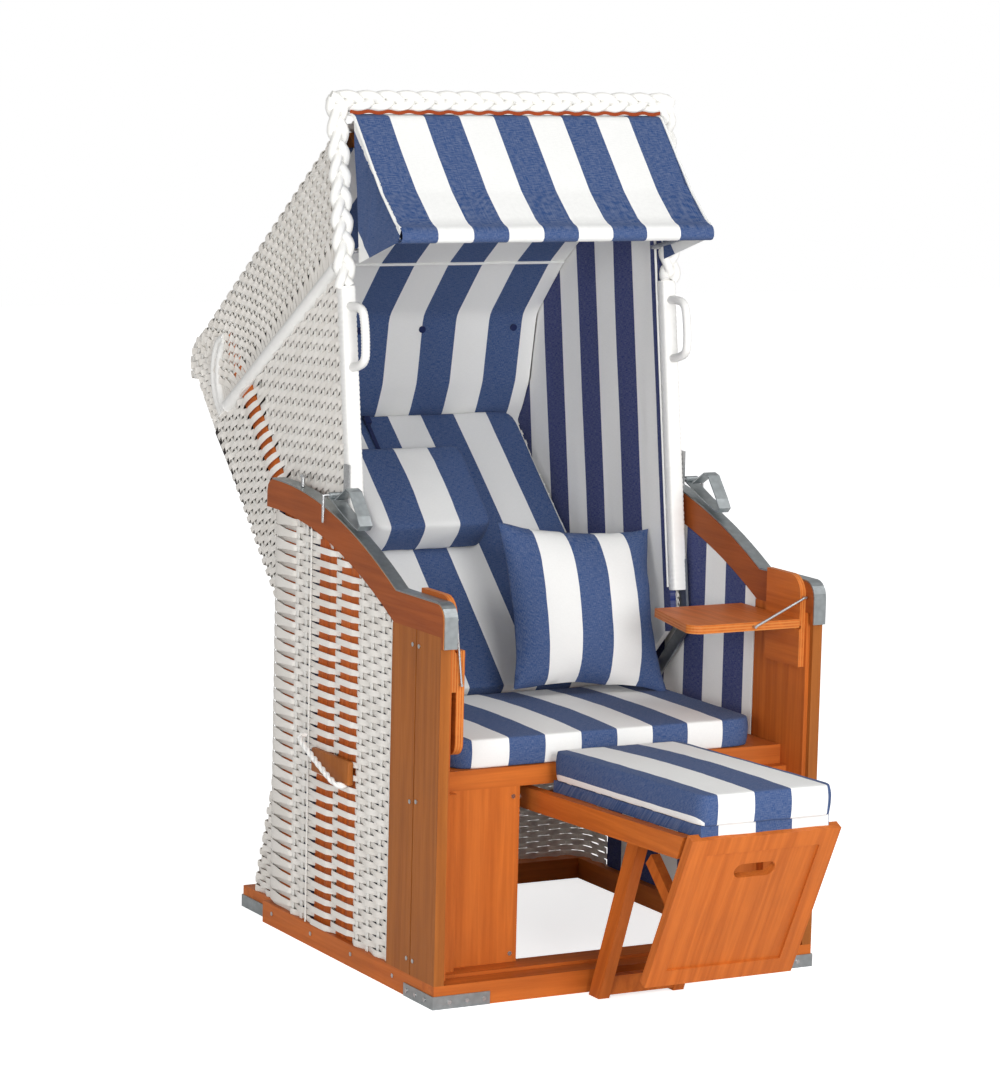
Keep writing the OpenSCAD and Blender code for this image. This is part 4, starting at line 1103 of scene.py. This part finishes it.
# White piping along the linings' front edges and at the fold of the roof
piping = [(resample([(s * 331, WRAP_Y + 2, 640), (s * 331, WRAP_Y + 2, 1470)], 12), 2.6, False)
          for s in (-1, 1)]
fold = FACE[1]
piping.append((resample([(-330, fold.x - 2, fold.y - 4), (330, fold.x - 2, fold.y - 4)], 12), 3.2, False))
rope("lining_piping", piping, HOOD, "hood", [PIPING], (), 2)

# ---------------- awning
TUBE = Vector((208, 1312))
cloth_pts = [RIM_EDGE, (372, 1543), (330, 1480), (274, 1396), (218, 1332), (198, 1322), (195, 1310),
             (198, 1302), (208, 1299), (222, 1303)]
AWNING_CLOTH = cloth("awning_stripes", 73.1, start=-AWNING_X)
profile = flat(smooth_line(resample([(a, b, 0) for a, b in cloth_pts], 8), 7, 2))


def awning_wave(x, t):
    """Slack of the awning, and the doubled hem above its tube."""
    slack = -3.0 * math.sin(math.pi * min(1, t * 1.1)) * (0.5 + noise.noise(Vector((x * 0.012, t * 2, 1))))
    return slack + (1.3 if t > 0.787 else 0)


awning, awning_l = sheet_form(profile, AWNING_X, 9, awning_wave)
thicken(awning, 1.6)
canopy = piece("awning_sheet", awning, HOOD, None, [AWNING_CLOTH],
               ["awning_cloth"], 60, lay_down)


def lay_flap(co, normal):
    """Distance from a flap's front edge, where blue starts on the left one and white on the right one."""
    down = (co.y - RIM_EDGE[0]) * 0.772 - (co.z - RIM_EDGE[1]) * 0.638
    return down + (0 if co.x < 0 else FLAP_STRIPE), co.z


flaps = bmesh.new()
edge_pts = [(p.x, p.y) for p in profile if 200 < p.x < 378 and p.y > 1320]
edge_pts += [(TUBE.x + 8, TUBE.y - 12), (376, 1272)]
for s in (-1, 1):
    flaps.faces.new([flaps.verts.new((s * FLAP_X, y, z)) for y, z in edge_pts])
bmesh.ops.triangulate(flaps, faces=flaps.faces[:])
bmesh.ops.subdivide_edges(flaps, edges=flaps.edges[:], cuts=3, use_grid_fill=True)
for v in flaps.verts:
    v.co.x -= math.copysign(2.5, v.co.x) * (0.5 + noise.noise(Vector((v.co.y * 0.03, v.co.z * 0.03, 2))))
thicken(flaps, 1.4)
flap = piece("awning_flaps", flaps, HOOD, None,
             [cloth("flap_stripes", FLAP_STRIPE, start=0)], (), 60, lay_flap)
flap_piping = [(resample([(s * AWNING_X, p.x, p.y) for p in profile if p.y > 1322], 8), 2.6, False)
               for s in (-1, 1)]
edge_cord = rope("awning_piping", flap_piping, HOOD, None, [PIPING], (), 2)
for obj in (canopy, flap, edge_cord):
    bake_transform(obj)

strap_bm = bmesh.new()
block(strap_bm, shift(-38, 618, 0), (9, 150, 1.6))
block(strap_bm, shift(-38, 678, 4), (13, 17, 9))
soften(strap_bm, 0.6)
piece("strap_and_lock", strap_bm, REST, "hood", [NAVY_CLOTH], ["bolster_strap"])

# ---------------- finishes of the carried-over nodes
FINISHES = (
    (WOOD_X, "front_sill rear_sill step_boards seat_apron"),
    (WOOD_Y, "side_sills seat_frame seat_board footrest_rails"),
    (WOOD_Z, "inner_posts front_panels face_boards"),
    (LEANED, "footrest_legs footrest_panel panel_braces"),
    (ARM, "arm_rail_left arm_rail_right"),
    (PLANK, "side_planks hood_battens"),
    (TRAY_FLAT, "tray_right"),
    (TRAY_HUNG, "tray_left tray_boards"),
    (ZINC, "corner_brackets rail_strips hood_bars latch_left latch_right footrest_guides"),
    (BRIGHT, "stop_bolts pivot_bolts base_screws latch_rods strut_left strut_right"),
    (BRIGHT, "footrest_axle awning_tube"),
    (NAVY_CLOTH, "lining_buttons"),
)
for material, titles in FINISHES:
    for title in titles.split():
        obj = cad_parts[title]
        obj.data.materials.clear()
        obj.data.materials.append(material)
